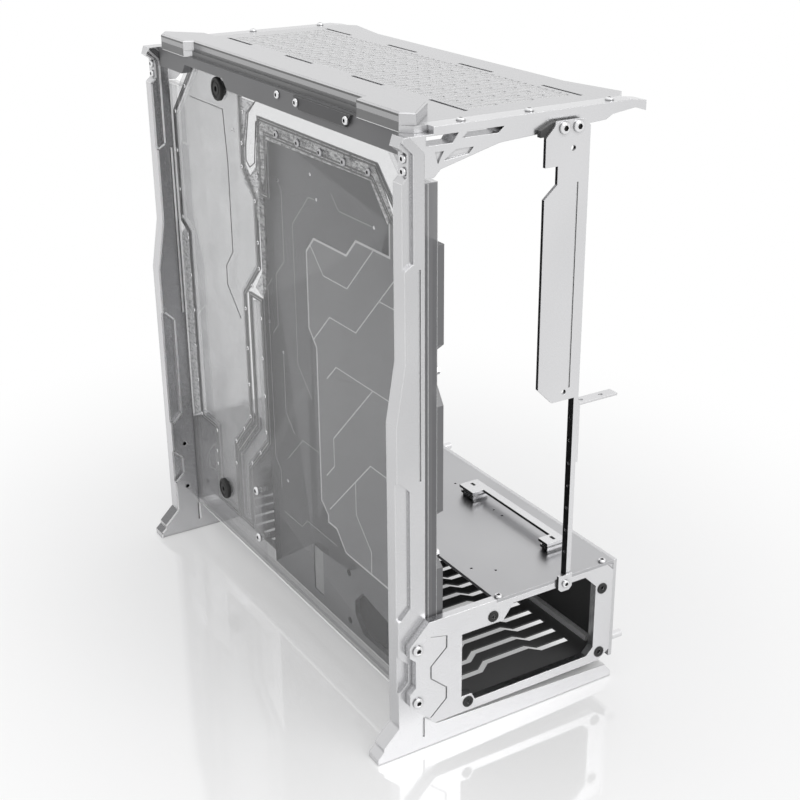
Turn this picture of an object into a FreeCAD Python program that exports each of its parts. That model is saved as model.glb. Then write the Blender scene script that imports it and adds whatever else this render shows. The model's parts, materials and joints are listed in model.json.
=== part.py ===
"""Open-frame computer case: two machined uprights, a clear coolant plate, a slotted roof and a power supply bay.

Millimetres, +Z up.  The origin is on the floor, under the middle of the case.  +X runs from the coolant plate
towards the roof's free edge, and -Y is the rear end with the power supply opening.
"""
import FreeCAD, Part
import math
import os
import re
import Sketcher

# Driving sizes
SIZES = {
    # Frame: drops are counted down from the columns' top, reaches along +X from the coolant plate's face
    "frame_length": 468.0,
    "column_depth": 15.0,
    "column_top": 511.0,
    "plate_face_x": -78.3,
    "column_width_low": 25.2,
    "column_width_high": 17.2,
    "column_width_top": 12.7,
    "column_corner": 12.5,
    "horn_reach": 19.7,
    "horn_drop": 7.3,
    "head_drop": 12.5,
    "head_tall": 16.5,
    "head_slope": 4.0,
    "waist_drop": 167.3,
    "waist_tall": 48.0,
    # Feet
    "toe_reach": 45.3,
    "toe_height": 5.2,
    "toe_step_reach": 39.7,
    "toe_step_low": 10.3,
    "toe_step_high": 13.5,
    "heel_height": 27.9,
    "foot_root_height": 29.7,
    "foot_knee_reach": 11.0,
    "foot_knee_height": 20.5,
    "foot_slope_reach": 188.8,
    "foot_slope_height": 13.7,
    "foot_end_reach": 195.8,
    "foot_end_height": 5.0,
    "seam_inset": 2.3,
    "seam_low": 11.0,
    "seam_high": 30.0,
    # Milled relief on the uprights
    "relief_depth": 3.0,
    "relief_slope": 9.0,
    "upper_relief_drop": 91.0,
    "upper_relief_width": 9.5,
    "lower_relief_low": 138.0,
    "lower_relief_tall": 102.5,
    "lower_relief_width": 13.5,
    "small_relief_low": 70.0,
    "small_relief_tall": 17.0,
    "small_relief_width": 16.0,
    "line_width": 1.6,
    "line_depth": 1.0,
    "line_inset": 5.0,
    "line_drop": 96.0,
    "line_long": 168.0,
    # Top rail
    "rail_depth": 7.7,
    "rail_tall": 17.3,
    "rail_notch_inset": 65.0,
    "rail_notch_long": 98.0,
    "rail_notch_rise": 9.0,
    "rail_screw_drop": 5.0,
    "rail_screw_inset": 208.0,
    "name_plate_thick": 2.5,
    "name_plate_tall": 10.5,
    "name_plate_inset": 86.0,
    "name_plate_long": 91.0,
    "name_plate_slope": 9.0,
    "name_screw_inset": 6.0,
    # Roof
    "roof_thick": 5.0,
    "roof_reach": 187.0,
    "roof_flare": 10.7,
    "roof_flare_start": 88.0,
    "roof_flare_end": 29.0,
    "roof_setback": 3.7,
    "roof_strip_width": 7.3,
    "ear_reach": 7.0,
    "ear_slope": 4.0,
    "ear_rear_inset": 17.0,
    "ear_rear_long": 58.5,
    "ear_rear_tail": 9.0,
    "ear_front_inset": 30.0,
    "ear_front_long": 50.0,
    "ear_front_tail": 14.0,
    "lip_tall": 9.0,
    "lip_width": 30.0,
    "lip_inset": 2.0,
    "lip_corner": 30.0,
    "lip_edge": 1.2,
    "fan_hole_pitch": 105.0,
    "fan_pitch": 118.0,
    "fan_slot_long": 50.0,
    "fan_slot_wide": 3.4,
    "fan_count": 4.0,
    "fan_row_reach": 56.1,
    "vent_pitch": 9.0,
    "vent_wide": 4.2,
    "vent_long": 28.0,
    "vent_gap": 5.2,
    "vent_margin": 3.0,
    "vent_rows": 22.0,
    # Roof arms
    "arm_root_drop": 31.0,
    "arm_root_width": 7.3,
    "arm_knee_reach": 13.3,
    "arm_knee_drop": 25.5,
    "arm_bend_reach": 63.2,
    "arm_bend_drop": 12.9,
    "arm_far_tail": 38.5,
    "arm_far_drop": 7.5,
    "arm_thin_tail": 32.0,
    "arm_thin_drop": 4.0,
    "arm_hook_tail": 10.0,
    "arm_hook_drop": 1.4,
    "arm_tip_reach": 197.8,
    "arm_tip_drop": 4.8,
    "arm_blade_tail": 14.3,
    "arm_blade_rise": 3.0,
    "arm_slot_drop": 1.4,
    "arm_slot_tall": 6.6,
    "arm_slot_reach": 1.0,
    "arm_slot_long": 27.0,
    "arm_slot_slant": 5.0,
    "arm_window_tall": 4.2,
    "arm_window_reach": 36.0,
    "arm_window_long": 31.0,
    "arm_pocket_depth": 1.5,
    "arm_pocket_drop": 13.0,
    "arm_pocket_tall": 8.8,
    "arm_pocket_reach": 8.3,
    "arm_pocket_long": 7.5,
    "arm_pocket_gap": 10.0,
    "arm_pocket_wide": 15.0,
    "arm_screw_reach": 34.6,
    "arm_screw_pitch": 59.3,
    "arm_screw_tail": 29.9,
    # Coolant plate
    "plate_cover_thick": 4.0,
    "plate_base_thick": 8.0,
    "plate_low": 30.7,
    "plate_top_gap": 1.3,
    "plate_end_gap": 2.0,
    "plate_shoulder_tall": 33.0,
    "plate_shoulder_long": 34.5,
    "channel_depth": 3.5,
    "tank_inset": 18.0,
    "tank_wide": 138.0,
    "tank_drop": 12.0,
    "tank_corner": 52.0,
    "tank_step": 17.0,
    "tank_step_drop": 165.5,
    "tank_low_drop": 368.0,
    "bulge": 22.5,
    "bulge_drop": 88.0,
    "bulge_tall": 60.5,
    "tank_waist": 10.0,
    "waist_low_drop": 332.0,
    "neck_inset": 50.0,
    "neck_wide": 35.0,
    "neck_low": 62.0,
    "duct_gap": 28.5,
    "duct_wide": 13.0,
    "duct_drop": 208.0,
    "duct_low": 63.0,
    "duct_jog": 45.0,
    "duct_jog_drop": 339.5,
    "bridge_drop": 41.8,
    "bridge_tall": 0.6,
    "bridge_inset": 77.0,
    "bridge_gap": 23.5,
    "bridge_fall": 30.0,
    "bridge_leg": 55.0,
    "bridge_count": 5.0,
    "seal_wide": 2.4,
    "seal_thick": 2.0,
    "seal_margin": 4.0,
    "seal_fit": 0.2,
    "plug_radius": 10.5,
    "plug_bore": 6.5,
    "plug_thick": 4.0,
    "plug_upper_inset": 130.0,
    "plug_upper_drop": 21.5,
    "plug_lower_inset": 91.0,
    "plug_lower_height": 80.0,
    "plate_screw_gap": 8.0,
    "plate_screw_low": 57.0,
    "plate_screw_pitch": 51.0,
    # Motherboard tray
    "tray_thick": 6.0,
    "tray_end_gap": 2.5,
    "tray_wide": 291.5,
    "tray_low": 31.7,
    "tray_drop": 44.0,
    "tray_shoulder_tall": 37.0,
    "tray_shoulder_wide": 68.0,
    "tray_shoulder_slope": 26.0,
    "tray_notch_deep": 9.0,
    "tray_notch_slope": 7.0,
    "tray_notch_drop": 121.0,
    "tray_notch_tall": 28.0,
    "tray_cut_rise": 140.0,
    "tray_cut_tall": 36.0,
    "window_inset": 75.0,
    "window_rise": 8.0,
    "window_wide": 58.0,
    "window_tall": 42.0,
    "window_corner": 14.0,
    "cable_slot_inset": 192.0,
    "cable_slot_rise": 10.0,
    "cable_slot_wide": 18.0,
    "cable_slot_tall": 47.0,
    "tray_hole_inset": 143.0,
    "tray_hole_rise": 10.0,
    "tray_hole_pitch": 49.0,
    "tray_hole_radius": 3.4,
    "board_inset": 17.5,
    "board_rise": 136.3,
    "board_hole_span": 157.48,
    "board_hole_deep": 154.94,
    "board_hole_mid": 132.08,
    "standoff_radius": 3.4,
    "standoff_bore": 1.6,
    "standoff_long": 6.5,
    # Power supply bay
    "bay_top": 124.4,
    "bay_low": 27.0,
    "bay_reach": 186.3,
    "bay_wall_thick": 3.5,
    "end_plate_thick": 7.0,
    "end_plate_reach": 18.7,
    "end_plate_corner": 18.0,
    "end_plate_notch_deep": 5.5,
    "end_plate_notch_low": 67.0,
    "end_plate_notch_tall": 25.0,
    "end_plate_notch_slope": 5.0,
    "end_plate_side_low": 51.0,
    "end_plate_foot_corner": 19.0,
    "end_plate_foot_step": 5.0,
    "end_plate_right_corner": 6.0,
    "end_plate_low_corner": 12.0,
    "end_plate_low_rise": 8.0,
    "end_plate_screw_inset": 7.0,
    "end_plate_screw_low": 53.0,
    "end_plate_screw_pitch": 49.4,
    "end_line_wide": 15.0,
    "end_line_drop": 14.0,
    "end_line_slope": 13.5,
    "end_line_straight": 11.0,
    "supply_reach": 37.3,
    "supply_z": 35.7,
    "supply_hole_wide": 138.0,
    "supply_hole_high": 64.0,
    "supply_hole_inset": 24.0,
    "supply_hole_top": 74.0,
    "supply_hole_radius": 2.0,
    "supply_foot": 6.0,
    "supply_seat": 0.3,
    "supply_open_left": 6.5,
    "supply_open_right": 131.0,
    "supply_open_high": 80.4,
    "supply_boss": 7.0,
    "supply_boss_long": 34.0,
    "supply_boss_slope": 10.0,
    "supply_corner": 12.0,
    "cover_thick": 3.0,
    "cover_reach": 64.3,
    "cover_screw_inset": 4.0,
    "floor_thick": 1.5,
    "floor_reach": 24.3,
    "slot_pitch_floor": 18.1,
    "slot_wide": 7.0,
    "slot_shift": 8.5,
    "slot_first_reach": 30.0,
    "slot_bend_reach": 77.0,
    "slot_bend_long": 11.0,
    "slot_far_reach": 132.3,
    "slot_far_long": 8.0,
    "slot_last_reach": 170.8,
    "slot_count_floor": 23.0,
    "slot_end_gap": 29.0,
    "ledge_wide": 4.5,
    "ledge_tall": 6.0,
    "ledge_inset": 20.0,
    "pin_radius": 3.6,
    "pin_long": 12.0,
    "pin_rear_inset": 4.5,
    "pin_rear_z": 44.0,
    "pin_side_inset": 272.0,
    "pin_side_drop": 6.0,
    # Expansion card bracket
    "bracket_thick": 3.0,
    "bracket_reach": 99.1,
    "bracket_wide": 40.5,
    "bracket_drop": 2.3,
    "bracket_corner": 11.0,
    "bracket_notch_deep": 11.5,
    "bracket_notch_drop": 35.0,
    "bracket_notch_tall": 14.0,
    "bracket_notch_slope": 10.0,
    "bracket_tall": 221.7,
    "bracket_low_corner": 14.0,
    "bracket_leg": 4.6,
    "bracket_screw_inset": 16.2,
    "bracket_screw_pitch": 12.8,
    "bracket_screw_drop": 7.3,
    "bracket_hole_shift": 5.0,
    "bracket_hole_drop": 23.0,
    "bracket_hole_rise": 7.0,
    "bracket_hole_radius": 2.2,
    "bracket_line_inset": 11.0,
    "bracket_line_drop": 49.0,
    "bracket_line_long": 165.0,
    "bracket_line_depth": 0.6,
    "spacer_drop": 3.0,
    "spacer_tall": 10.0,
    "spacer_overhang": 3.0,
    "slot_pitch": 20.32,
    "slot_first_rise": 22.1,
    "slot_count": 7.0,
    "slot_hole_radius": 1.3,
    "lug_thick": 2.5,
    "lug_wide": 14.0,
    "lug_tall": 15.0,
    "lug_drop": 12.0,
    "lug_corner": 3.0,
    "lug_screw_drop": 5.0,
    # Card support angle
    "angle_thick": 2.0,
    "angle_deep": 10.0,
    "angle_rise": 104.6,
    "angle_tall": 52.0,
    "angle_wide": 40.0,
    "angle_hole_inset": 6.5,
    "angle_hole_pitch": 20.0,
    "angle_hole_radius": 1.8,
    # Riser mount on the bay's cover
    "riser_reach": 143.8,
    "riser_wide": 20.0,
    "riser_inset": 31.0,
    "riser_long": 136.0,
    "riser_rise": 10.0,
    "riser_thick": 2.6,
    "riser_near": 13.0,
    "riser_far": 22.0,
    "riser_bar": 7.5,
    "riser_recess": 2.4,
    "riser_gap": 2.2,
    "riser_flange": 2.6,
    "riser_step": 1.2,
    "riser_clip_side": 9.0,
    "riser_clip_wide": 3.0,
    "riser_clip_inset": 4.0,
    "riser_clip_long": 6.0,
    # Small holes in the bay's cover, beside the riser mount and behind the power supply opening
    "cover_hole_radius": 1.2,
    "riser_hole_reach": 152.3,
    "riser_hole_inset": 110.0,
    "riser_hole_pitch": 13.0,
    "riser_far_hole": 187.0,
    "supply_hole_reach_near": 91.0,
    "supply_hole_inset_near": 32.6,
    "supply_hole_reach_far": 75.5,
    "supply_hole_inset_far": 46.2,
    # Fasteners
    "head_radius": 4.5,
    "head_high": 2.6,
    "head_bevel": 1.4,
    "shank_radius": 2.0,
    "shank_bite": 6.0,
    "socket_radius": 1.6,
    "socket_deep": 1.4,
    "screw_fit": 0.3,
    "small_head_radius": 3.4,
    "small_head_high": 2.2,
    "small_head_bevel": 1.0,
}

# Sides of a screw head's and a shank's outline
HEAD_SIDES = 12
STEM_SIDES = 8

doc = FreeCAD.newDocument("open_frame_case")
sheet = doc.addObject("Spreadsheet::Sheet", "sheet")
for row, (name, size) in enumerate(SIZES.items(), start=1):
    sheet.set("A%d" % row, name)
    sheet.set("B%d" % row, repr(size))
    sheet.setAlias("B%d" % row, name)
doc.recompute()

PLANES = {"XY": "XY_Plane", "XZ": "XZ_Plane", "YZ": "YZ_Plane"}
AXES = {"X": (FreeCAD.Vector(0, 1, 0), 90.0), "-X": (FreeCAD.Vector(0, 1, 0), -90.0),
        "Y": (FreeCAD.Vector(1, 0, 0), -90.0), "-Y": (FreeCAD.Vector(1, 0, 0), 90.0),
        "Z": (FreeCAD.Vector(0, 0, 1), 0.0)}
nodes = []

# Places that several pieces share, as expressions of the sheet's sizes
REAR = "(-frame_length / 2)"
FRONT = "(frame_length / 2)"
REAR_INNER = "(-frame_length / 2 + column_depth)"
FRONT_INNER = "(frame_length / 2 - column_depth)"
REAR_FACE = "(-frame_length / 2 - end_plate_thick)"
FRONT_FACE = "(frame_length / 2 + end_plate_thick)"
ROOF_TOP = "(column_top + roof_thick)"
PLATE_BACK = "(plate_face_x + plate_cover_thick + plate_base_thick)"
TRAY_BACK = "(plate_face_x + plate_cover_thick + plate_base_thick + tray_thick)"
TRAY_REAR = "(-frame_length / 2 + tray_end_gap)"
FLOOR_TOP = "(supply_z - supply_foot - supply_seat)"
FLOOR_LOW = "(supply_z - supply_foot - supply_seat - floor_thick)"
SIDE_LOW = "(plate_face_x - column_width_low)"
SIDE_HIGH = "(plate_face_x - column_width_high)"
SIDE_TOP = "(plate_face_x - column_width_top)"
HEAD_TOP = "(column_top - head_drop)"
HEAD_LOW = "(column_top - head_drop - head_tall)"
RAIL_FACE = "(plate_face_x - rail_depth)"
PLATE_LEFT = "(plate_face_x - end_plate_reach)"
BAY_WALL = "(plate_face_x + bay_reach)"
COVER_EDGE = "(plate_face_x + cover_reach)"
SUPPLY_X = "(plate_face_x + supply_reach)"
BRACKET_LEFT = "(plate_face_x + bracket_reach)"
BRACKET_RIGHT = "(plate_face_x + bracket_reach + bracket_wide)"
BRACKET_TOP = "(column_top - bracket_drop)"
BRACKET_LOW = "(column_top - bracket_drop - bracket_tall)"
LUG_X = "(plate_face_x + bracket_reach + bracket_wide - lug_wide / 2)"
LUG_SCREW_Z = "(bay_top - lug_screw_drop)"
TANK_NEAR = "(frame_length / 2 - tank_inset - tank_wide)"
TANK_FAR = "(frame_length / 2 - tank_inset)"
DUCT_MID = "(frame_length / 2 - tank_inset - tank_wide + tank_waist - duct_gap)"
BRIDGE_NEAR = "(-frame_length / 2 + bridge_inset)"
BRIDGE_FAR = "(frame_length / 2 - tank_inset - tank_wide - bulge - bridge_gap)"
BRIDGE_Z = "(column_top - bridge_drop)"
FAN_ROW = "(plate_face_x + fan_row_reach)"
NAME_REAR = "(-frame_length / 2 + name_plate_inset)"

SIDE_SCREWS = (HEAD_LOW + " + small_head_radius + screw_fit", HEAD_TOP + " - small_head_radius - screw_fit")
ARM_SCREWS = ("plate_face_x + arm_screw_reach", "plate_face_x + arm_screw_reach + arm_screw_pitch",
              "plate_face_x + arm_tip_reach - arm_screw_tail")
BRACKET_SCREWS = (BRACKET_LEFT + " + bracket_screw_inset",
                  BRACKET_LEFT + " + bracket_screw_inset + bracket_screw_pitch")
NAME_SCREWS = (NAME_REAR + " + name_screw_inset", NAME_REAR + " + name_plate_long - name_screw_inset")
COVER_SCREWS = (COVER_EDGE + " + cover_screw_inset", BAY_WALL + " - end_plate_right_corner - cover_screw_inset")
PLATE_SCREWS = ("end_plate_screw_low", "end_plate_screw_low + end_plate_screw_pitch")

# How far a corner slides along its edge when an outline grows: at 45 degrees, and at a slope of one in two
SLANT = "%s * (sqrt(2) - 1)"
STEP_SLANT = "%s * (sqrt(5) - 1) / 2"
HEX = 6


def bound(text):
    """An expression of the sheet's sizes, with each size's full name."""
    return re.sub(r"[a-z][a-z_]*(?![a-z_(])", lambda word: "sheet." + word.group(0), str(text))


def value(text):
    """The number that an expression of the sheet's sizes gives now."""
    return float(sheet.evalExpression(bound(text)))


def bind_place(item, x="0", y="0", z="0"):
    for axis, text in zip("xyz", (x, y, z)):
        item.setExpression(".Placement.Base." + axis, bound(text))


def new_body(label, x="0", y="0", z="0"):
    body = doc.addObject("PartDesign::Body", label)
    body.Label = label
    bind_place(body, x, y, z)
    nodes.append(body)
    return body


def add_polygon(sketch, points):
    """A closed outline whose corners are bound to the sheet."""
    first = sketch.GeometryCount
    count = len(points)
    places = [FreeCAD.Vector(value(x), value(y), 0) for x, y in points]
    for i in range(count):
        sketch.addGeometry(Part.LineSegment(places[i], places[(i + 1) % count]), False)
    for i in range(count):
        sketch.addConstraint(Sketcher.Constraint("Coincident", first + i, 2, first + (i + 1) % count, 1))
    for i, (x, y) in enumerate(points):
        for kind, text in (("DistanceX", x), ("DistanceY", y)):
            index = sketch.addConstraint(Sketcher.Constraint(kind, -1, 1, first + i, 1, value(text)))
            sketch.setExpression("Constraints[%d]" % index, bound(text))


def add_circle(sketch, x, y, radius):
    """A circle whose centre and radius are bound to the sheet."""
    item = sketch.GeometryCount
    centre = FreeCAD.Vector(value(x), value(y), 0)
    sketch.addGeometry(Part.Circle(centre, FreeCAD.Vector(0, 0, 1), value(radius)), False)
    for kind, text in (("DistanceX", x), ("DistanceY", y)):
        index = sketch.addConstraint(Sketcher.Constraint(kind, -1, 1, item, 3, value(text)))
        sketch.setExpression("Constraints[%d]" % index, bound(text))
    index = sketch.addConstraint(Sketcher.Constraint("Radius", item, value(radius)))
    sketch.setExpression("Constraints[%d]" % index, bound(radius))


def new_sketch(body, plane, loops, lift="0"):
    """A sketch on one of the body's own planes: each loop is a list of corners, or a circle's x, y and radius."""
    sketch = body.newObject("Sketcher::SketchObject", body.Label + "_sketch")
    role = PLANES[plane]
    support = [item for item in body.Origin.OriginFeatures if item.Role == role][0]
    sketch.AttachmentSupport = [(support, "")]
    sketch.MapMode = "FlatFace"
    sketch.setExpression(".AttachmentOffset.Base.z", bound(lift))
    for loop in loops:
        if isinstance(loop, tuple):
            add_circle(sketch, *loop)
        else:
            add_polygon(sketch, loop)
    return sketch


def pad(body, plane, loops, thickness, lift="0"):
    """Material along the plane's normal: +Z on XY, -Y on XZ and +X on YZ."""
    feature = body.newObject("PartDesign::Pad", body.Label + "_pad")
    feature.Profile = new_sketch(body, plane, loops, lift)
    feature.setExpression("Length", bound(thickness))
    doc.recompute()
    return feature


def cut(body, plane, loops, depth, lift, along=False):
    """A pocket from the height lift on the plane's normal, back towards the plane or along the normal."""
    before = body.Shape.Volume
    feature = body.newObject("PartDesign::Pocket", body.Label + "_pocket")
    feature.Profile = new_sketch(body, plane, loops, lift)
    feature.setExpression("Length", bound(depth))
    feature.Reversed = along
    doc.recompute()
    if not body.Shape.Volume < before:
        raise RuntimeError("a pocket of %s cuts nothing" % body.Label)
    return feature


def repeat(body, features, axis, length, count):
    """Copies of features along one of the body's own axes, evenly spaced over a length."""
    pattern = body.newObject("PartDesign::LinearPattern", body.Label + "_pattern")
    pattern.Originals = features
    direction = [item for item in body.Origin.OriginFeatures if item.Role == axis][0]
    pattern.Direction = (direction, [""])
    pattern.setExpression("Length", bound(length))
    pattern.setExpression("Occurrences", bound(count))
    body.Tip = pattern
    doc.recompute()
    return pattern


def bent_band(points, width, across):
    """A closed outline round a line of corners, as wide as width along the sketch's x or y."""
    if across == "x":
        shifted = [("%s + %s" % (x, width), y) for x, y in points]
    else:
        shifted = [(x, "%s + %s" % (y, width)) for x, y in points]
    return list(points) + shifted[::-1]


def regular(x, y, radius, sides):
    """A regular polygon's corners round a place."""
    corners = []
    for index in range(sides):
        turn = 2 * math.pi * index / sides
        corners.append(("%s + (%s) * %.6f" % (x, radius, math.cos(turn)),
                        "%s + (%s) * %.6f" % (y, radius, math.sin(turn))))
    return corners


def shank_hole(x, y):
    """A clearance hole in the simple form that a screw's shank has."""
    return regular(x, y, "shank_radius + screw_fit", STEM_SIDES)


def make_upright(label, back_y):
    """A column with a splayed toe outside and a long tapered foot under the bay, milled on its rear face."""
    body = new_body(label, y=back_y)
    outside = "plate_face_x - toe_reach"
    outline = [
        (outside, "0"),
        ("plate_face_x + foot_end_reach", "0"),
        ("plate_face_x + foot_end_reach", "foot_end_height"),
        ("plate_face_x + foot_slope_reach", "foot_slope_height"),
        ("plate_face_x + foot_knee_reach", "foot_knee_height"),
        ("plate_face_x", "foot_root_height"),
        ("plate_face_x", "column_top - column_corner"),
        ("plate_face_x - column_corner", "column_top"),
        (SIDE_HIGH, "column_top"),
        ("plate_face_x - horn_reach", "column_top - horn_drop"),
        (SIDE_TOP, HEAD_TOP),
        (SIDE_TOP, HEAD_LOW),
        (SIDE_HIGH, HEAD_LOW + " - head_slope"),
        (SIDE_HIGH, "column_top - waist_drop"),
        (SIDE_LOW, "column_top - waist_drop - waist_tall"),
        (SIDE_LOW, "heel_height"),
        ("plate_face_x - toe_step_reach", "toe_step_high"),
        ("plate_face_x - toe_step_reach", "toe_step_low"),
        (outside, "toe_height"),
    ]
    pad(body, "XZ", [outline], "column_depth")
    upper_low = "column_top - upper_relief_drop"
    upper = [
        (outside, upper_low + " - relief_slope / 2"),
        (SIDE_HIGH, upper_low + " - relief_slope / 2"),
        ("plate_face_x - upper_relief_width", upper_low),
        ("plate_face_x - upper_relief_width", HEAD_TOP),
        ("plate_face_x - upper_relief_width - relief_slope", HEAD_TOP + " + relief_slope"),
        (outside, HEAD_TOP + " + relief_slope"),
    ]
    lower_high = "lower_relief_low + lower_relief_tall"
    lower = [
        (outside, "lower_relief_low - relief_slope"),
        ("plate_face_x - lower_relief_width - relief_slope", "lower_relief_low - relief_slope"),
        ("plate_face_x - lower_relief_width", "lower_relief_low"),
        ("plate_face_x - lower_relief_width", lower_high),
        ("plate_face_x - lower_relief_width - relief_slope", lower_high + " + relief_slope"),
        (outside, lower_high + " + relief_slope"),
    ]
    small_high = "small_relief_low + small_relief_tall"
    small = [
        (outside, "small_relief_low - relief_slope"),
        (SIDE_LOW, "small_relief_low - relief_slope"),
        ("plate_face_x - small_relief_width", "small_relief_low"),
        ("plate_face_x - small_relief_width", small_high),
        (SIDE_LOW, small_high + " + relief_slope"),
        (outside, small_high + " + relief_slope"),
    ]
    cut(body, "XZ", [upper, lower, small], "relief_depth", "column_depth")
    line = upright_line("line_inset", "column_top - line_drop - line_long", "column_top - line_drop")
    seam = upright_line("seam_inset", "seam_low", "seam_high")
    cut(body, "XZ", [line, seam], "line_depth", "column_depth")
    plate_holes = [shank_hole(PLATE_LEFT + " + end_plate_screw_inset", z) for z in PLATE_SCREWS]
    cut(body, "XZ", plate_holes, "column_depth", "column_depth")
    return body


def upright_line(inset, low, high):
    """A straight groove up the column, beside the coolant plate's face."""
    left = "plate_face_x - " + inset
    return [(left, low), (left + " + line_width", low), (left + " + line_width", high), (left, high)]


def make_arm(label, back_y, rear):
    """A roof arm with two slanted slots, and two pockets milled in its outer face."""
    body = new_body(label, y=back_y)
    strip = "plate_face_x + roof_strip_width"
    tip = "plate_face_x + arm_tip_reach"
    outline = [
        ("plate_face_x", "column_top - arm_root_drop"),
        ("plate_face_x + arm_root_width", "column_top - arm_root_drop"),
        ("plate_face_x + arm_knee_reach", "column_top - arm_knee_drop"),
        ("plate_face_x + arm_bend_reach", "column_top - arm_bend_drop"),
        (tip + " - arm_far_tail", "column_top - arm_far_drop"),
        (tip + " - arm_thin_tail", "column_top - arm_thin_drop"),
        (tip + " - arm_hook_tail", "column_top - arm_hook_drop"),
        (tip, "column_top - arm_tip_drop"),
        (tip, "column_top + arm_blade_rise"),
        (tip + " - arm_blade_tail", ROOF_TOP),
        (strip, ROOF_TOP),
        (strip, "column_top"),
        ("plate_face_x - column_corner", "column_top"),
        ("plate_face_x", "column_top - column_corner"),
    ]
    pad(body, "XZ", [outline], "column_depth")
    slot_left = "plate_face_x + arm_slot_reach"
    slot_low = "column_top - arm_slot_drop - arm_slot_tall"
    slot = [
        (slot_left, slot_low),
        (slot_left + " + arm_slot_long - arm_slot_slant", slot_low),
        (slot_left + " + arm_slot_long", "column_top - arm_slot_drop"),
        (slot_left, "column_top - arm_slot_drop"),
    ]
    window_left = "plate_face_x + arm_window_reach"
    window_low = "column_top - arm_slot_drop - arm_window_tall"
    window = [
        (window_left + " - arm_slot_slant", window_low),
        (window_left + " + arm_window_long - arm_slot_slant", window_low),
        (window_left + " + arm_window_long", "column_top - arm_slot_drop"),
        (window_left, "column_top - arm_slot_drop"),
    ]
    cut(body, "XZ", [slot, window], "column_depth", "column_depth")
    high = "column_top - arm_pocket_drop"
    low = "column_top - arm_pocket_drop - arm_pocket_tall"
    left = "plate_face_x + arm_pocket_reach"
    small = [(left, high), (left + " + arm_pocket_long", high), (left + " + arm_pocket_long / 3", low)]
    large = [
        (left + " + arm_pocket_long", low + " + arm_pocket_tall / 4"),
        (left + " + arm_pocket_long + arm_pocket_gap", high),
        (left + " + arm_pocket_long + arm_pocket_gap + arm_pocket_wide", high),
        (left + " + arm_pocket_long + arm_pocket_gap + arm_pocket_wide * 3 / 4", high + " - arm_pocket_tall / 2"),
    ]
    if rear:
        cut(body, "XZ", [small, large], "arm_pocket_depth", "column_depth")
        holes = [shank_hole(x, "column_top - bracket_screw_drop") for x in BRACKET_SCREWS]
        cut(body, "XZ", holes, "shank_bite + screw_fit", "column_depth")
    else:
        cut(body, "XZ", [small, large], "arm_pocket_depth", "0", along=True)
    return body


def make_rail():
    """The cross rail under the roof, notched where the upper port sits."""
    body = new_body("top_rail", x=RAIL_FACE)
    low = "column_top - rail_tall"
    notch_far = FRONT + " - rail_notch_inset"
    notch_near = FRONT + " - rail_notch_inset - rail_notch_long"
    outline = [
        (REAR_INNER, low),
        (notch_near, low),
        (notch_near + " + rail_notch_rise", low + " + rail_notch_rise"),
        (notch_far + " - rail_notch_rise", low + " + rail_notch_rise"),
        (notch_far, low),
        (FRONT_INNER, low),
        (FRONT_INNER, "column_top"),
        (REAR_INNER, "column_top"),
    ]
    pad(body, "YZ", [outline], "rail_depth")


def make_name_plate():
    """A bare plate with slanted ends on the rail, held by a screw at each end."""
    body = new_body("name_plate", x="plate_face_x - rail_depth - name_plate_thick")
    far = NAME_REAR + " + name_plate_long"
    outline = [
        (NAME_REAR + " + name_plate_slope", "column_top - name_plate_tall"),
        (far + " - name_plate_slope", "column_top - name_plate_tall"),
        (far, "column_top"),
        (NAME_REAR, "column_top"),
    ]
    pad(body, "YZ", [outline], "name_plate_thick")


def edge_outline(inset):
    """The roof's edge over the rail, from the rear end to the front: ears with slanted corners, set back between."""
    edge = "plate_face_x - roof_setback + " + inset
    ear = "plate_face_x - roof_setback - ear_reach"
    return [
        (edge, REAR + " + ear_rear_inset - ear_rear_tail"),
        (ear, REAR + " + ear_rear_inset"),
        (ear, REAR + " + ear_rear_inset + ear_rear_long"),
        (edge, REAR + " + ear_rear_inset + ear_rear_long + ear_slope"),
        (edge, FRONT + " - ear_front_inset - ear_front_long - ear_slope"),
        (ear, FRONT + " - ear_front_inset - ear_front_long"),
        (ear, FRONT + " - ear_front_inset"),
        (edge, FRONT + " - ear_front_inset + ear_front_tail"),
    ]


def make_roof():
    """The roof plate between the arms, flared at its free corners, with fan slots and rows of staggered vents."""
    body = new_body("roof_panel", z="column_top")
    strip = "plate_face_x + roof_strip_width"
    free = "plate_face_x + roof_reach"
    flare = "plate_face_x + roof_reach + roof_flare"
    cut_in = "plate_face_x + roof_reach + roof_flare - (roof_flare_end - column_depth)"
    outline = edge_outline("0") + [
        (strip, FRONT + " - ear_front_inset + ear_front_tail"),
        (strip, FRONT_INNER),
        (cut_in, FRONT_INNER),
        (flare, FRONT + " - roof_flare_end"),
        (free, FRONT + " - roof_flare_start"),
        (free, REAR + " + roof_flare_start"),
        (flare, REAR + " + roof_flare_end"),
        (cut_in, REAR_INNER),
        (strip, REAR_INNER),
        (strip, REAR + " + ear_rear_inset - ear_rear_tail"),
    ]
    pad(body, "XY", [outline], "roof_thick")
    slots = []
    for side in (0, 1):
        x = FAN_ROW + " + %d * fan_hole_pitch" % side
        start = "-(fan_count - 1) * fan_pitch / 2 - fan_slot_long / 2"
        slots.append([
            (x + " - fan_slot_wide / 2", start),
            (x + " + fan_slot_wide / 2", start),
            (x + " + fan_slot_wide / 2", start + " + fan_slot_long"),
            (x + " - fan_slot_wide / 2", start + " + fan_slot_long"),
        ])
    fan_slots = cut(body, "XY", slots, "roof_thick", "roof_thick")
    repeat(body, [fan_slots], "Y_Axis", "(fan_count - 1) * fan_pitch", "fan_count")
    for shift in (0, 1):
        row = cut(body, "XY", vent_row(shift), "roof_thick", "roof_thick")
        repeat(body, [row], "Y_Axis", "(vent_rows - 1) * 2 * vent_pitch", "vent_rows")
    return body


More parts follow.
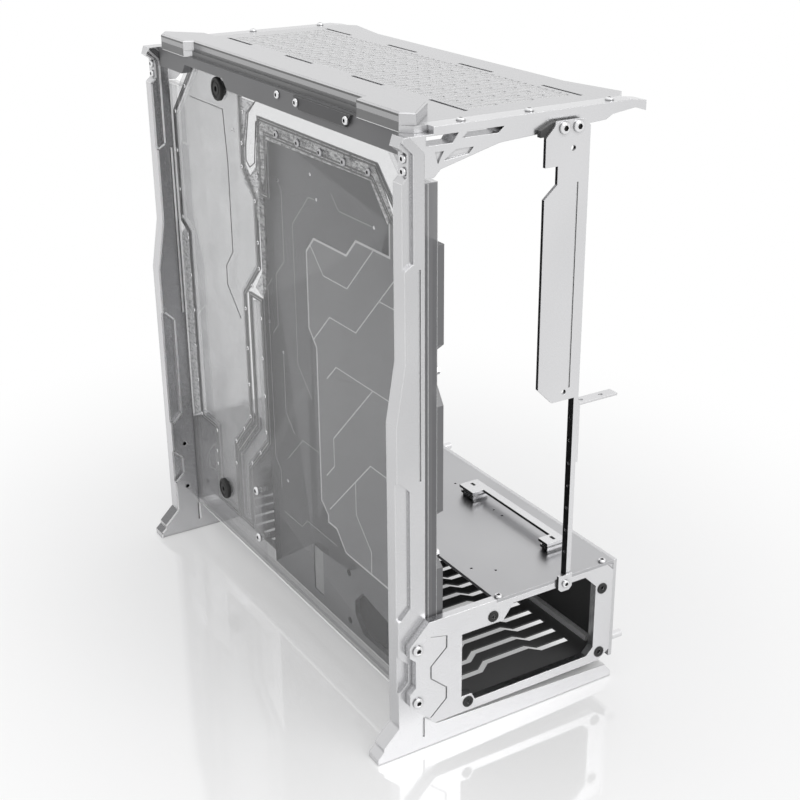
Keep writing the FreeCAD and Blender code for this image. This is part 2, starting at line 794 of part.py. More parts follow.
def vent_row(shift):
    """One row of vents across the roof: three long ones, or two between two short ones on every other row."""
    y = "-(vent_rows - 1) * vent_pitch - vent_pitch / 2 + %d * vent_pitch" % shift
    left = FAN_ROW + " + fan_slot_wide / 2 + vent_margin"
    short = "((vent_long - vent_gap) / 2)"
    if shift:
        spans = [(left, short)]
        spans += [("%s + %s + vent_gap + %d * (vent_long + vent_gap)" % (left, short, index), "vent_long")
                  for index in (0, 1)]
        spans.append(("%s + %s + vent_gap + 2 * (vent_long + vent_gap)" % (left, short), short))
    else:
        spans = [("%s + %d * (vent_long + vent_gap)" % (left, index), "vent_long") for index in (0, 1, 2)]
    vents = []
    for start, long in spans:
        end = "%s + %s" % (start, long)
        vents.append([
            (start, y + " - vent_wide / 2"),
            (end, y + " - vent_wide / 2"),
            (end, y + " + vent_wide / 2"),
            (start, y + " + vent_wide / 2"),
        ])
    return vents


def make_lip():
    """The raised edge along the roof, following its ears, with long slanted ends and a bevelled top."""
    body = new_body("roof_lip", z=ROOF_TOP)
    inner = "plate_face_x - roof_setback + lip_width"
    outline = edge_outline("lip_inset") + [
        (inner, FRONT + " - ear_front_inset + ear_front_tail - lip_corner"),
        (inner, REAR + " + ear_rear_inset - ear_rear_tail + lip_corner"),
    ]
    base = pad(body, "XY", [outline], "lip_tall")
    top = max(range(len(base.Shape.Faces)), key=lambda index: base.Shape.Faces[index].CenterOfMass.z)
    bevel = body.newObject("PartDesign::Chamfer", "roof_lip_bevel")
    bevel.Base = (base, ["Face%d" % (top + 1)])
    bevel.setExpression("Size", bound("lip_edge"))
    doc.recompute()


def coolant_outline():
    """The coolant plate's edge, with low shoulders under the roof arms."""
    rear = REAR + " + plate_end_gap"
    front = FRONT + " - plate_end_gap"
    top = "column_top - plate_top_gap"
    shoulder = "column_top - plate_top_gap - plate_shoulder_tall"
    return [
        (rear, "plate_low"),
        (front, "plate_low"),
        (front, shoulder),
        (front + " - plate_shoulder_long", shoulder),
        (front + " - plate_shoulder_long - plate_shoulder_tall", top),
        (rear + " + plate_shoulder_long + plate_shoulder_tall", top),
        (rear + " + plate_shoulder_long", shoulder),
        (rear, shoulder),
    ]


def tank_outline(margin):
    """The tank: a slanted corner and a step on its far side, a bulge on the near one, a neck to the lower port."""
    slant = SLANT % margin
    step_slant = STEP_SLANT % margin
    top = "column_top - tank_drop + " + margin
    low = "column_top - tank_low_drop - " + margin
    far = "%s + %s" % (TANK_FAR, margin)
    near = "%s - %s" % (TANK_NEAR, margin)
    neck_far = "%s + neck_inset + neck_wide + %s" % (TANK_NEAR, margin)
    step = "column_top - tank_step_drop - " + step_slant
    bulge = "column_top - bulge_drop"
    waist = "column_top - waist_low_drop - " + slant
    return [
        (near + " + neck_inset", "neck_low - " + margin),
        (neck_far, "neck_low - " + margin),
        (neck_far, low),
        (far + " - tank_step", low),
        (far + " - tank_step", step + " - tank_step / 2"),
        (far, step),
        (far, "column_top - tank_drop - tank_corner + " + slant),
        ("%s - tank_corner + %s" % (TANK_FAR, slant), top),
        (near, top),
        (near, bulge + " + " + slant),
        (near + " - bulge", bulge + " - bulge + " + slant),
        (near + " - bulge", bulge + " - bulge - bulge_tall - " + slant),
        (near + " + tank_waist", bulge + " - 2 * bulge - bulge_tall - tank_waist - " + slant),
        (near + " + tank_waist", waist),
        (near + " + neck_inset", waist + " + tank_waist - neck_inset"),
    ]


def duct_outline(margin):
    """The duct beside the tank, with a jog towards it above the lower port."""
    half = "(duct_wide / 2 + %s)" % margin
    slant = SLANT % half
    jog = "column_top - duct_jog_drop"
    top = "column_top - duct_drop + " + margin
    near = "%s - %s" % (DUCT_MID, half)
    far = "%s + %s" % (DUCT_MID, half)
    return [
        (near + " + duct_jog", "duct_low - " + margin),
        (far + " + duct_jog", "duct_low - " + margin),
        (far + " + duct_jog", jog + " - duct_jog + " + slant),
        (far, jog + " + " + slant),
        (far, top),
        (near, top),
        (near, jog + " - " + slant),
        (near + " + duct_jog", jog + " - duct_jog - " + slant),
    ]


def bridge_outline(margin):
    """The clamped strip under the rail, bent down at its rear end and folded down beside the tank."""
    half = "(bridge_tall / 2 + %s)" % margin
    slant = SLANT % half
    corner = "%s * sqrt(2)" % half
    end_y = BRIDGE_NEAR + " - bridge_fall"
    end_z = BRIDGE_Z + " - bridge_fall"
    leg_low = "%s - bridge_leg - %s" % (BRIDGE_Z, half)
    return [
        ("%s - %s" % (end_y, corner), end_z),
        (end_y, "%s - %s" % (end_z, corner)),
        ("%s + %s" % (BRIDGE_NEAR, slant), "%s - %s" % (BRIDGE_Z, half)),
        ("%s - %s" % (BRIDGE_FAR, half), "%s - %s" % (BRIDGE_Z, half)),
        ("%s - %s" % (BRIDGE_FAR, half), leg_low),
        ("%s + %s" % (BRIDGE_FAR, half), leg_low),
        ("%s + %s" % (BRIDGE_FAR, half), "%s + %s" % (BRIDGE_Z, half)),
        ("%s - %s" % (BRIDGE_NEAR, slant), "%s + %s" % (BRIDGE_Z, half)),
    ]


def bridge_places():
    """The clamping screws' places along the middle of the strip."""
    step = "(%s - %s) / bridge_count" % (BRIDGE_FAR, BRIDGE_NEAR)
    count = int(value("bridge_count"))
    return [("%s + %d * %s" % (BRIDGE_NEAR, index, step), BRIDGE_Z) for index in range(count)]


def plug_places():
    return [
        (FRONT + " - plug_upper_inset", "column_top - plug_upper_drop"),
        (FRONT + " - plug_lower_inset", "plug_lower_height"),
    ]


def plate_screw_places():
    y = TANK_NEAR + " - plate_screw_gap"
    return [(y, "plate_screw_low"), (y, "plate_screw_low + plate_screw_pitch")]


def make_coolant_plates():
    """The milled base, the seals in its grooves and the clear cover over them."""
    outlines = (tank_outline, duct_outline, bridge_outline)
    cover = new_body("coolant_cover", x="plate_face_x")
    pad(cover, "YZ", [coolant_outline()], "plate_cover_thick")
    holes = [(y, z, "plug_bore + screw_fit") for y, z in plug_places()]
    holes += [shank_hole(y, z) for y, z in plate_screw_places()]
    cut(cover, "YZ", holes, "plate_cover_thick", "plate_cover_thick")

    base = new_body("coolant_base", x="plate_face_x + plate_cover_thick")
    pad(base, "YZ", [coolant_outline()], "plate_base_thick")
    cut(base, "YZ", [tank_outline("0"), duct_outline("0")], "channel_depth", "0", along=True)
    grooves = []
    rings = []
    for outline in outlines:
        grooves.append(outline("(seal_margin - seal_fit)"))
        grooves.append(outline("(seal_margin + seal_wide + seal_fit)"))
        rings.append(outline("seal_margin"))
        rings.append(outline("(seal_margin + seal_wide)"))
    cut(base, "YZ", grooves, "seal_thick", "0", along=True)
    blind = [shank_hole(y, z) for y, z in plate_screw_places()]
    cut(base, "YZ", blind, "shank_bite + screw_fit", "0", along=True)

    seal = new_body("channel_seals", x="plate_face_x + plate_cover_thick")
    pad(seal, "YZ", rings[:2], "seal_thick")
    for label, pair in (("duct_seal", rings[2:4]), ("bridge_seal", rings[4:])):
        other = new_body(label, x="plate_face_x + plate_cover_thick")
        pad(other, "YZ", pair, "seal_thick")


def make_plug(label, y, z):
    """A round port plug: a flange on the cover's face and a spigot in its bore."""
    body = new_body(label, x="plate_face_x")
    pad(body, "YZ", [(y, z, "plug_bore")], "plate_cover_thick")
    flange = pad(body, "YZ", [(y, z, "plug_radius")], "plug_thick")
    flange.Reversed = True
    doc.recompute()


def make_tray():
    """The motherboard tray, with a jagged rear edge, an angular window, a cable slot and two holes."""
    body = new_body("motherboard_tray", x=PLATE_BACK)
    top = "column_top - tray_drop"
    shoulder = "column_top - tray_drop - tray_shoulder_tall"
    inner = TRAY_REAR + " + tray_notch_deep"
    notch = "column_top - tray_drop - tray_notch_drop"
    cut_low = "tray_low + tray_cut_rise"
    far = TRAY_REAR + " + tray_wide"
    outline = [
        (TRAY_REAR, "tray_low"),
        (far, "tray_low"),
        (far, top),
        (TRAY_REAR + " + tray_shoulder_wide + tray_shoulder_slope", top),
        (TRAY_REAR + " + tray_shoulder_wide", shoulder),
        (TRAY_REAR, shoulder),
        (TRAY_REAR, notch + " + tray_notch_slope"),
        (inner, notch),
        (inner, notch + " - tray_notch_tall"),
        (TRAY_REAR, notch + " - tray_notch_tall - 2 * tray_notch_slope"),
        (TRAY_REAR, cut_low + " + tray_cut_tall + tray_notch_slope"),
        (inner, cut_low + " + tray_cut_tall"),
        (inner, cut_low),
        (TRAY_REAR, cut_low + " - tray_notch_slope"),
    ]
    pad(body, "YZ", [outline], "tray_thick")
    window_y = TRAY_REAR + " + window_inset"
    window_z = "tray_low + window_rise"
    window = [
        (window_y, window_z),
        (window_y + " + window_wide - window_corner", window_z),
        (window_y + " + window_wide", window_z + " + window_corner"),
        (window_y + " + window_wide", window_z + " + window_tall - window_corner"),
        (window_y + " + window_wide - window_corner", window_z + " + window_tall"),
        (window_y, window_z + " + window_tall - window_corner / 2"),
    ]
    slot_y = TRAY_REAR + " + cable_slot_inset"
    slot_z = "tray_low + cable_slot_rise"
    slot = [
        (slot_y, slot_z),
        (slot_y + " + cable_slot_wide", slot_z),
        (slot_y + " + cable_slot_wide", slot_z + " + cable_slot_tall"),
        (slot_y, slot_z + " + cable_slot_tall"),
    ]
    hole_y = TRAY_REAR + " + tray_hole_inset"
    hole_z = "tray_low + tray_hole_rise"
    holes = [(hole_y, z, "tray_hole_radius") for z in (hole_z, hole_z + " + tray_hole_pitch")]
    cut(body, "YZ", [window, slot] + holes, "tray_thick", "tray_thick")


def make_standoffs():
    """Hexagonal standoffs on the tray, in the standard board's pattern."""
    body = new_body("board_standoffs", x=TRAY_BACK)
    y = TRAY_REAR + " + board_inset"
    low = "tray_low + board_rise"
    high = low + " + board_hole_span"
    loops = []
    for place_y, place_z in ((y, low), (y, high), (y + " + board_hole_deep", low), (y + " + board_hole_mid", high)):
        loops.append(regular(place_y, place_z, "standoff_radius", HEX))
        loops.append((place_y, place_z, "standoff_bore"))
    pad(body, "YZ", loops, "standoff_long")


def end_plate_outline():
    """The bay's end plate: notched beside the upright, stepped down under the cover, corners cut."""
    inner = PLATE_LEFT + " + end_plate_notch_deep"
    under = "bay_top - cover_thick"
    notch_high = "end_plate_notch_low + end_plate_notch_tall"
    return [
        (PLATE_LEFT + " + end_plate_foot_corner", "bay_low + end_plate_foot_step"),
        (PLATE_LEFT + " + end_plate_foot_corner + end_plate_foot_step", "bay_low"),
        (BAY_WALL + " - end_plate_low_corner", "bay_low"),
        (BAY_WALL, "bay_low + end_plate_low_rise"),
        (BAY_WALL, under + " - end_plate_right_corner"),
        (BAY_WALL + " - end_plate_right_corner", under),
        (COVER_EDGE, under),
        (COVER_EDGE, "bay_top"),
        (PLATE_LEFT + " + end_plate_corner", "bay_top"),
        (PLATE_LEFT, "bay_top - end_plate_corner"),
        (PLATE_LEFT, notch_high + " + end_plate_notch_slope"),
        (inner, notch_high),
        (inner, "end_plate_notch_low"),
        (PLATE_LEFT, "end_plate_notch_low - end_plate_notch_slope"),
        (PLATE_LEFT, "end_plate_side_low"),
    ]


def supply_opening():
    """The power supply opening, drawn in at its screw holes."""
    left = SUPPLY_X + " - supply_open_left"
    right = SUPPLY_X + " + supply_open_right"
    top = "supply_z + supply_open_high"
    shelf = "supply_z + supply_hole_top - supply_boss"
    return [
        (SUPPLY_X + " + supply_boss", "supply_z"),
        (right + " - supply_boss", "supply_z"),
        (right, "supply_z + supply_boss"),
        (right, top + " - supply_corner"),
        (right + " - supply_corner", top),
        (SUPPLY_X + " + supply_boss_long + supply_boss_slope", top),
        (SUPPLY_X + " + supply_boss_long", shelf),
        (left, shelf),
        (left, "supply_z + supply_boss"),
        (SUPPLY_X + " + supply_boss / 2", "supply_z + supply_boss"),
    ]


def supply_holes():
    """The four screw places of a standard power supply."""
    return [
        (SUPPLY_X, "supply_z"),
        (SUPPLY_X + " + supply_hole_wide", "supply_z"),
        (SUPPLY_X + " + supply_hole_wide", "supply_z + supply_hole_high"),
        (SUPPLY_X + " + supply_hole_inset", "supply_z + supply_hole_top"),
    ]


def end_plate_line():
    """The broken line engraved beside the opening."""
    left = "plate_face_x"
    right = "plate_face_x + end_line_wide"
    top = "bay_top - end_line_drop"
    line = [(left, top)]
    level = top + " - end_line_slope / 4"
    for x in (right, left, right):
        line.append((x, level))
        level = level + " - end_line_straight"
        line.append((x, level))
        level = level + " - end_line_slope"
    line.append((left, level))
    return bent_band(line, "line_width", "x")


def make_end_plate(label, back_y, opening):
    """An end plate of the bay, held to its upright by two screws."""
    body = new_body(label, y=back_y)
    pad(body, "XZ", [end_plate_outline()], "end_plate_thick")
    holes = [shank_hole(PLATE_LEFT + " + end_plate_screw_inset", z) for z in PLATE_SCREWS]
    if opening:
        holes.append(supply_opening())
        holes += [(x, z, "supply_hole_radius") for x, z in supply_holes()]
    cut(body, "XZ", holes, "end_plate_thick", "end_plate_thick")
    if opening:
        cut(body, "XZ", [end_plate_line()], "line_depth", "end_plate_thick")


def make_cover():
    """The bay's cover over both end plates, with small holes beside the riser mount and near the opening."""
    body = new_body("bay_cover", z="bay_top - cover_thick")
    outline = [(COVER_EDGE, REAR_FACE), (BAY_WALL, REAR_FACE), (BAY_WALL, FRONT_FACE), (COVER_EDGE, FRONT_FACE)]
    pad(body, "XY", [outline], "cover_thick")
    row = "plate_face_x + riser_hole_reach"
    places = [
        (row, REAR + " + riser_hole_inset"),
        (row, REAR + " + riser_hole_inset + riser_hole_pitch"),
        (row, REAR + " + riser_far_hole"),
        ("plate_face_x + supply_hole_reach_near", REAR + " + supply_hole_inset_near"),
        ("plate_face_x + supply_hole_reach_far", REAR + " + supply_hole_inset_far"),
    ]
    holes = [regular(x, y, "cover_hole_radius", STEM_SIDES) for x, y in places]
    cut(body, "XY", holes, "cover_thick", "cover_thick")


def make_floor():
    """The bay's floor with a row of vent slots, each stepped sideways twice."""
    body = new_body("bay_floor", z=FLOOR_LOW)
    edge = "plate_face_x + floor_reach"
    pad(body, "XY", [[(edge, REAR), (BAY_WALL, REAR), (BAY_WALL, FRONT), (edge, FRONT)]], "floor_thick")
    first = REAR + " + slot_end_gap"
    bend = "plate_face_x + slot_bend_reach"
    far = "plate_face_x + slot_far_reach"
    line = [
        ("plate_face_x + slot_first_reach", first),
        (bend, first),
        (bend + " + slot_bend_long", first + " + slot_shift"),
        (far, first + " + slot_shift"),
        (far + " + slot_far_long", first),
        ("plate_face_x + slot_last_reach", first),
    ]
    slot = cut(body, "XY", [bent_band(line, "slot_wide", "y")], "floor_thick", "floor_thick")
    repeat(body, [slot], "Y_Axis", "(slot_count_floor - 1) * slot_pitch_floor", "slot_count_floor")


def make_wall():
    """The bay's side wall, along the cover and both end plates."""
    body = new_body("bay_wall", x=BAY_WALL)
    outline = [(REAR_FACE, FLOOR_LOW), (FRONT_FACE, FLOOR_LOW), (FRONT_FACE, "bay_top"), (REAR_FACE, "bay_top")]
    pad(body, "YZ", [outline], "bay_wall_thick")


def make_ledge():
    """The angle along the bay's floor against the side wall."""
    body = new_body("bay_ledge", z=FLOOR_TOP)
    left = BAY_WALL + " - ledge_wide"
    rear = REAR + " + ledge_inset"
    front = FRONT + " - ledge_inset"
    pad(body, "XY", [[(left, rear), (BAY_WALL, rear), (BAY_WALL, front), (left, front)]], "ledge_tall")


def make_bracket():
    """The expansion bracket: a hung plate, its drilled leg folded back and a lug on the bay's end plate."""
    body = new_body("expansion_bracket", y=REAR)
    front = "(end_plate_thick - bracket_thick)"
    inner = BRACKET_LEFT + " + bracket_notch_deep"
    leg = BRACKET_RIGHT + " - bracket_leg"
    notch = "column_top - bracket_notch_drop"
    plate = [
        (BRACKET_RIGHT, BRACKET_LOW),
        (BRACKET_RIGHT, BRACKET_TOP + " - bracket_corner / 2"),
        (BRACKET_RIGHT + " - bracket_corner / 2", BRACKET_TOP),
        (BRACKET_LEFT + " + bracket_corner", BRACKET_TOP),
        (BRACKET_LEFT, BRACKET_TOP + " - bracket_corner"),
        (BRACKET_LEFT, notch),
        (inner, notch),
        (inner, notch + " - bracket_notch_tall"),
        (BRACKET_LEFT, notch + " - bracket_notch_tall - bracket_notch_slope"),
        (BRACKET_LEFT, BRACKET_LOW + " + bracket_low_corner"),
        (BRACKET_LEFT + " + bracket_low_corner", BRACKET_LOW),
    ]
    pad(body, "XZ", [plate], "bracket_thick", front)
    leg_top = "column_top - spacer_drop - spacer_tall - bracket_corner"
    strip = [(leg, "bay_top"), (BRACKET_RIGHT, "bay_top"), (BRACKET_RIGHT, leg_top), (leg, leg_top)]
    pad(body, "XZ", [strip], "end_plate_thick")
    low = "bay_top - lug_drop"
    left = LUG_X + " - lug_wide / 2"
    right = LUG_X + " + lug_wide / 2"
    lug = [
        (left, low + " + lug_corner"),
        (left + " + lug_corner", low),
        (right + " - lug_corner", low),
        (right, low + " + lug_corner"),
        (right, low + " + lug_tall"),
        (left, low + " + lug_tall"),
    ]
    pad(body, "XZ", [lug], "lug_thick", "end_plate_thick")
    middle = "(%s + %s) / 2 + bracket_hole_shift" % (BRACKET_LEFT, BRACKET_RIGHT)
    holes = [shank_hole(x, "column_top - bracket_screw_drop") for x in BRACKET_SCREWS]
    holes += [(middle, z, "bracket_hole_radius")
              for z in ("column_top - bracket_hole_drop", BRACKET_LOW + " + bracket_hole_rise")]
    cut(body, "XZ", holes, "bracket_thick", "end_plate_thick")
    line_left = BRACKET_RIGHT + " - bracket_line_inset"
    line_high = "column_top - bracket_line_drop"
    line = [
        (line_left, line_high + " - bracket_line_long"),
        (line_left + " + line_width", line_high + " - bracket_line_long"),
        (line_left + " + line_width", line_high),
        (line_left, line_high),
    ]
    cut(body, "XZ", [line], "bracket_line_depth", "end_plate_thick")
    first = [("-end_plate_thick / 2", "bay_top + slot_first_rise", "slot_hole_radius")]
    hole = cut(body, "YZ", first, "bracket_leg", BRACKET_RIGHT)
    repeat(body, [hole], "Z_Axis", "(slot_count - 1) * slot_pitch", "slot_count")


def make_spacer():
    """The block that holds the bracket's plate off the rear arm."""
    body = new_body("bracket_spacer", y=REAR)
    high = "column_top - spacer_drop"
    low = "column_top - spacer_drop - spacer_tall"
    left = BRACKET_LEFT + " - spacer_overhang"
    right = BRACKET_RIGHT + " - bracket_corner / 2"
    outline = [
        (left, low),
        (right, low),
        (right, high),
        (left + " + bracket_corner", high),
        (left, high + " - spacer_tall / 2"),
    ]
    holes = [shank_hole(x, "column_top - bracket_screw_drop") for x in BRACKET_SCREWS]
    pad(body, "XZ", [outline] + holes, "end_plate_thick - bracket_thick")


def make_angle():
    """The card support angle on the bracket's leg."""
    body = new_body("card_support", x=BRACKET_RIGHT, y=REAR_FACE + " + angle_deep")
    low = "bay_top + angle_rise"
    top = "bay_top + angle_rise + angle_tall"
    outline = [
        ("0", low),
        ("angle_thick", low),
        ("angle_thick", top + " - angle_thick"),
        ("angle_wide", top + " - angle_thick"),
        ("angle_wide", top),
        ("0", top),
    ]
    pad(body, "XZ", [outline], "angle_deep")
    holes = [(x, "-angle_deep / 2", "angle_hole_radius")
             for x in ("angle_hole_inset", "angle_hole_inset + angle_hole_pitch")]
    cut(body, "XY", holes, "angle_thick", top)


def make_riser():
    """The riser mount on the bay's cover: a bar between two ears, each ear on a flanged foot."""
    body = new_body("riser_mount", x="plate_face_x + riser_reach", y=REAR + " + riser_inset", z="bay_top")
    ears = (("0", "riser_near"), ("riser_long - riser_far", "riser_long"))
    bar = "riser_wide - riser_bar"
    pad(body, "XY", [riser_block(low, high, "riser_recess") for low, high in ears], "riser_rise - riser_thick / 2")
    pad(body, "XY", [riser_block(low, high, "riser_step") for low, high in ears], "riser_flange", "riser_gap")
    outline = [
        ("0", "0"),
        ("riser_wide", "0"),
        ("riser_wide", "riser_long"),
        ("0", "riser_long"),
        ("0", "riser_long - riser_far"),
        (bar, "riser_long - riser_far"),
        (bar, "riser_near"),
        ("0", "riser_near"),
    ]
    pad(body, "XY", [outline], "riser_thick", "riser_rise - riser_thick")
    clips = []
    for low in ("riser_clip_inset", "riser_long - riser_clip_inset - riser_clip_long"):
        right = "riser_clip_side + riser_clip_wide"
        high = low + " + riser_clip_long"
        clips.append([("riser_clip_side", low), (right, low), (right, high), ("riser_clip_side", high)])
    cut(body, "XY", clips, "riser_thick / 2", "riser_rise")


def riser_block(low, high, inset):
    """One end of the riser mount, drawn in all round."""
    left = inset
    right = "riser_wide - " + inset
    near = "%s + %s" % (low, inset)
    far = "%s - %s" % (high, inset)
    return [(left, near), (right, near), (right, far), (left, far)]


def make_screw(label, prefix, shank=None):
    """The pattern of one kind of screw: a bevelled head on its seat and, where it shows its use, a shank and socket."""
    screw = doc.addObject("PartDesign::Body", label)
    head = pad(screw, "XY", [regular("0", "0", prefix + "head_radius", HEAD_SIDES)], prefix + "head_high")
    top = max(range(len(head.Shape.Faces)), key=lambda index: head.Shape.Faces[index].CenterOfMass.z)
    bevel = screw.newObject("PartDesign::Chamfer", label + "_bevel")
    bevel.Base = (head, ["Face%d" % (top + 1)])
    bevel.setExpression("Size", bound(prefix + "head_bevel"))
    doc.recompute()
    if shank:
        stem = regular("0", "0", "shank_radius", STEM_SIDES)
        pad(screw, "XY", [stem], shank, "-(%s)" % shank)
        cut(screw, "XY", [regular("0", "0", "socket_radius", HEX)], "socket_deep", prefix + "head_high")
    return screw


def make_screws(label, places, axis, screw):
    """A group of screws of one kind, their heads seated at the places given."""
    screws = []
    for x, y, z in places:
        one = doc.addObject("App::Link", label + "_screw")
        one.LinkedObject = screw
        one.Placement = FreeCAD.Placement(FreeCAD.Vector(), FreeCAD.Rotation(*AXES[axis]))
        bind_place(one, x, y, z)
        screws.append(one)
    group = doc.addObject("Part::Compound", label)
    group.Label = label
    group.Links = screws
    nodes.append(group)
    return group


def make_fasteners():
    """Every visible screw, in groups by what it holds."""
    plate_screw = make_screw("plate_screw", "", "end_plate_thick + shank_bite")
    clamp_screw = make_screw("clamp_screw", "", "plate_cover_thick + shank_bite")
    small_screw = make_screw("small_screw", "small_")
    plate_x = PLATE_LEFT + " + end_plate_screw_inset"
    make_screws("rear_plate_screws", [(plate_x, REAR_FACE, z) for z in PLATE_SCREWS], "-Y", plate_screw)
    make_screws("front_plate_screws", [(plate_x, FRONT_FACE, z) for z in PLATE_SCREWS], "Y", plate_screw)
    middle = "(frame_length / 2 - column_depth / 2)"
    for label, side in (("rear_column_screws", "-"), ("front_column_screws", "")):
        make_screws(label, [(SIDE_TOP, side + middle, z) for z in SIDE_SCREWS], "-X", small_screw)
    for label, side in (("rear_arm_screws", "-"), ("front_arm_screws", "")):
        make_screws(label, [(x, side + middle, ROOF_TOP) for x in ARM_SCREWS], "Z", small_screw)
    rail_z = "column_top - rail_screw_drop"
    rail_places = [(RAIL_FACE, REAR + " + rail_screw_inset", rail_z)]
    rail_places += [(RAIL_FACE + " - name_plate_thick", y, rail_z) for y in NAME_SCREWS]
    make_screws("rail_screws", rail_places, "-X", small_screw)
    bracket_places = [(x, REAR_FACE, "column_top - bracket_screw_drop") for x in BRACKET_SCREWS]
    make_screws("bracket_screws", bracket_places, "-Y", plate_screw)
    make_screws("lug_screw", [(LUG_X, REAR_FACE + " - lug_thick", LUG_SCREW_Z)], "-Y", small_screw)
    cover_places = []
    for x in COVER_SCREWS:
        for side in ("-", ""):
            cover_places.append((x, side + "(frame_length / 2 + end_plate_thick / 2)", "bay_top"))
    make_screws("cover_screws", cover_places, "Z", small_screw)
    clamp_places = [("plate_face_x", y, z) for y, z in plate_screw_places()]
    make_screws("coolant_plate_screws", clamp_places, "-X", clamp_screw)
    make_screws("bridge_screws", [("plate_face_x", y, z) for y, z in bridge_places()], "-X", small_screw)


def make_pins():
    """The pins on the bay's side wall that a side panel hangs on."""
    places = (("rear_panel_pin", REAR_FACE + " + pin_rear_inset", "pin_rear_z"),
              ("side_panel_pin", REAR + " + pin_side_inset", "bay_top - pin_side_drop"))
    for label, y, z in places:
        body = new_body(label, x=BAY_WALL + " + bay_wall_thick")
        pad(body, "YZ", [(y, z, "pin_radius")], "pin_long")


make_upright("rear_upright", REAR_INNER)
make_upright("front_upright", FRONT)
make_rail()
make_name_plate()
make_roof()
make_lip()
make_arm("rear_arm", REAR_INNER, rear=True)
make_arm("front_arm", FRONT, rear=False)
make_coolant_plates()
for plug_label, (plug_y, plug_z) in zip(("upper_port_plug", "lower_port_plug"), plug_places()):
    make_plug(plug_label, plug_y, plug_z)
make_tray()
make_standoffs()
make_end_plate("rear_end_plate", REAR, opening=True)
make_end_plate("front_end_plate", FRONT_FACE, opening=False)
make_cover()
make_floor()
make_wall()
make_ledge()
make_bracket()
make_spacer()
make_angle()
make_riser()
make_pins()
make_fasteners()
doc.recompute()

for item in doc.Objects:
    if "Invalid" in item.State or "Error" in item.State:
        raise RuntimeError("%s did not compute: %s" % (item.Label, item.State))
for node in nodes:
    if node.Shape.isNull() or not node.Shape.isValid():
        raise RuntimeError("%s has no valid shape" % node.Label)

os.makedirs("parts", exist_ok=True)
for node in nodes:
    node.Shape.exportStep("parts/%s.step" % node.Label)
    print(node.Label, len(node.Shape.Solids), round(node.Shape.Volume))
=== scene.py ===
import json
import math

import bmesh
import bpy
from mathutils import Matrix, Vector


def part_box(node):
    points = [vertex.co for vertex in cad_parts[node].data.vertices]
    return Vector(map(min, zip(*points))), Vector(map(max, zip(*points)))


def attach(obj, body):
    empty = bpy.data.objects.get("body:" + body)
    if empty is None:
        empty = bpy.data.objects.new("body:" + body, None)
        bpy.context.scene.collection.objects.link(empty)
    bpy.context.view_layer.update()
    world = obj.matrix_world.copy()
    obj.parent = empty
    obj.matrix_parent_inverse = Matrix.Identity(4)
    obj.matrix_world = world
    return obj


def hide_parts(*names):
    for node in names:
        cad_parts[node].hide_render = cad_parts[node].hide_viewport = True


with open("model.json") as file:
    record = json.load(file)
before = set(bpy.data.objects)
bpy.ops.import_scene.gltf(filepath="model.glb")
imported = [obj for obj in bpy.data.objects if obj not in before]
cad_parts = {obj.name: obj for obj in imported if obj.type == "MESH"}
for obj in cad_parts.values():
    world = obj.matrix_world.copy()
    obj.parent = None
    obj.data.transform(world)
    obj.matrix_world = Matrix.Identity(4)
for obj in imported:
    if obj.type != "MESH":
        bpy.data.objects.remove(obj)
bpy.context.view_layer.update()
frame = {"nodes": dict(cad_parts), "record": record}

scene = bpy.context.scene
scene.view_settings.view_transform = "Standard"

MM = 0.001

# Camera, solved from the power supply's screw pattern
EYE = Vector((-0.5882, -1.0392, 0.7221))
CAMERA_HEADING = math.radians(-31.911)
CAMERA_PITCH = math.radians(23.212)
CAMERA_ROLL = math.radians(-0.225)
LENS_MM = 62.95
SENSOR_MM = 36.0
SHIFT_X = -0.0192
SHIFT_Y = 0.00015
CLIP_START = 0.01

# Where the CAD puts things
NODES = frame["nodes"]
COVER_LOW, COVER_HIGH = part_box("coolant_cover")
BASE_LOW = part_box("coolant_base")[0]
TRAY_LOW, TRAY_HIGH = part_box("motherboard_tray")
BAY_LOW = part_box("bay_cover")[0]
PLATE_LOW, PLATE_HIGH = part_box("rear_end_plate")
WALL_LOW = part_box("bay_wall")[0]
CHANNEL_DEPTH = 3.5 * MM

# Stage
FLOOR_HALF = 6.0
FLOOR_DROP = 0.0005
FADE_INNER = 0.16
FADE_OUTER = 0.62
FADE_LEAST = 0.35
FADE_SHIFT = 0.06

# Detail
SAME_PLACE = 1e-6
LINE_PROUD = 0.05 * MM
LINE_SUNK = 0.3 * MM
BORDER_WIDE = 2.0 * MM
TRACE_WIDE = 1.1 * MM
FAINT_WIDE = 0.7 * MM
HEAD_SEGMENTS = 36


# Shaders: the sockets of a Mix node for colours, a plain white, and how rounded normals are taken
MIX_FIRST = 6
MIX_SECOND = 7
MIX_RESULT = 2
WHITE = (1.0, 1.0, 1.0, 1.0)
SOFT_SAMPLES = 2
EDGE_LEAN = (0.97, 0.82)
NOISE_DETAIL = 3.0
NOISE_SPREAD = (0.3, 0.7)


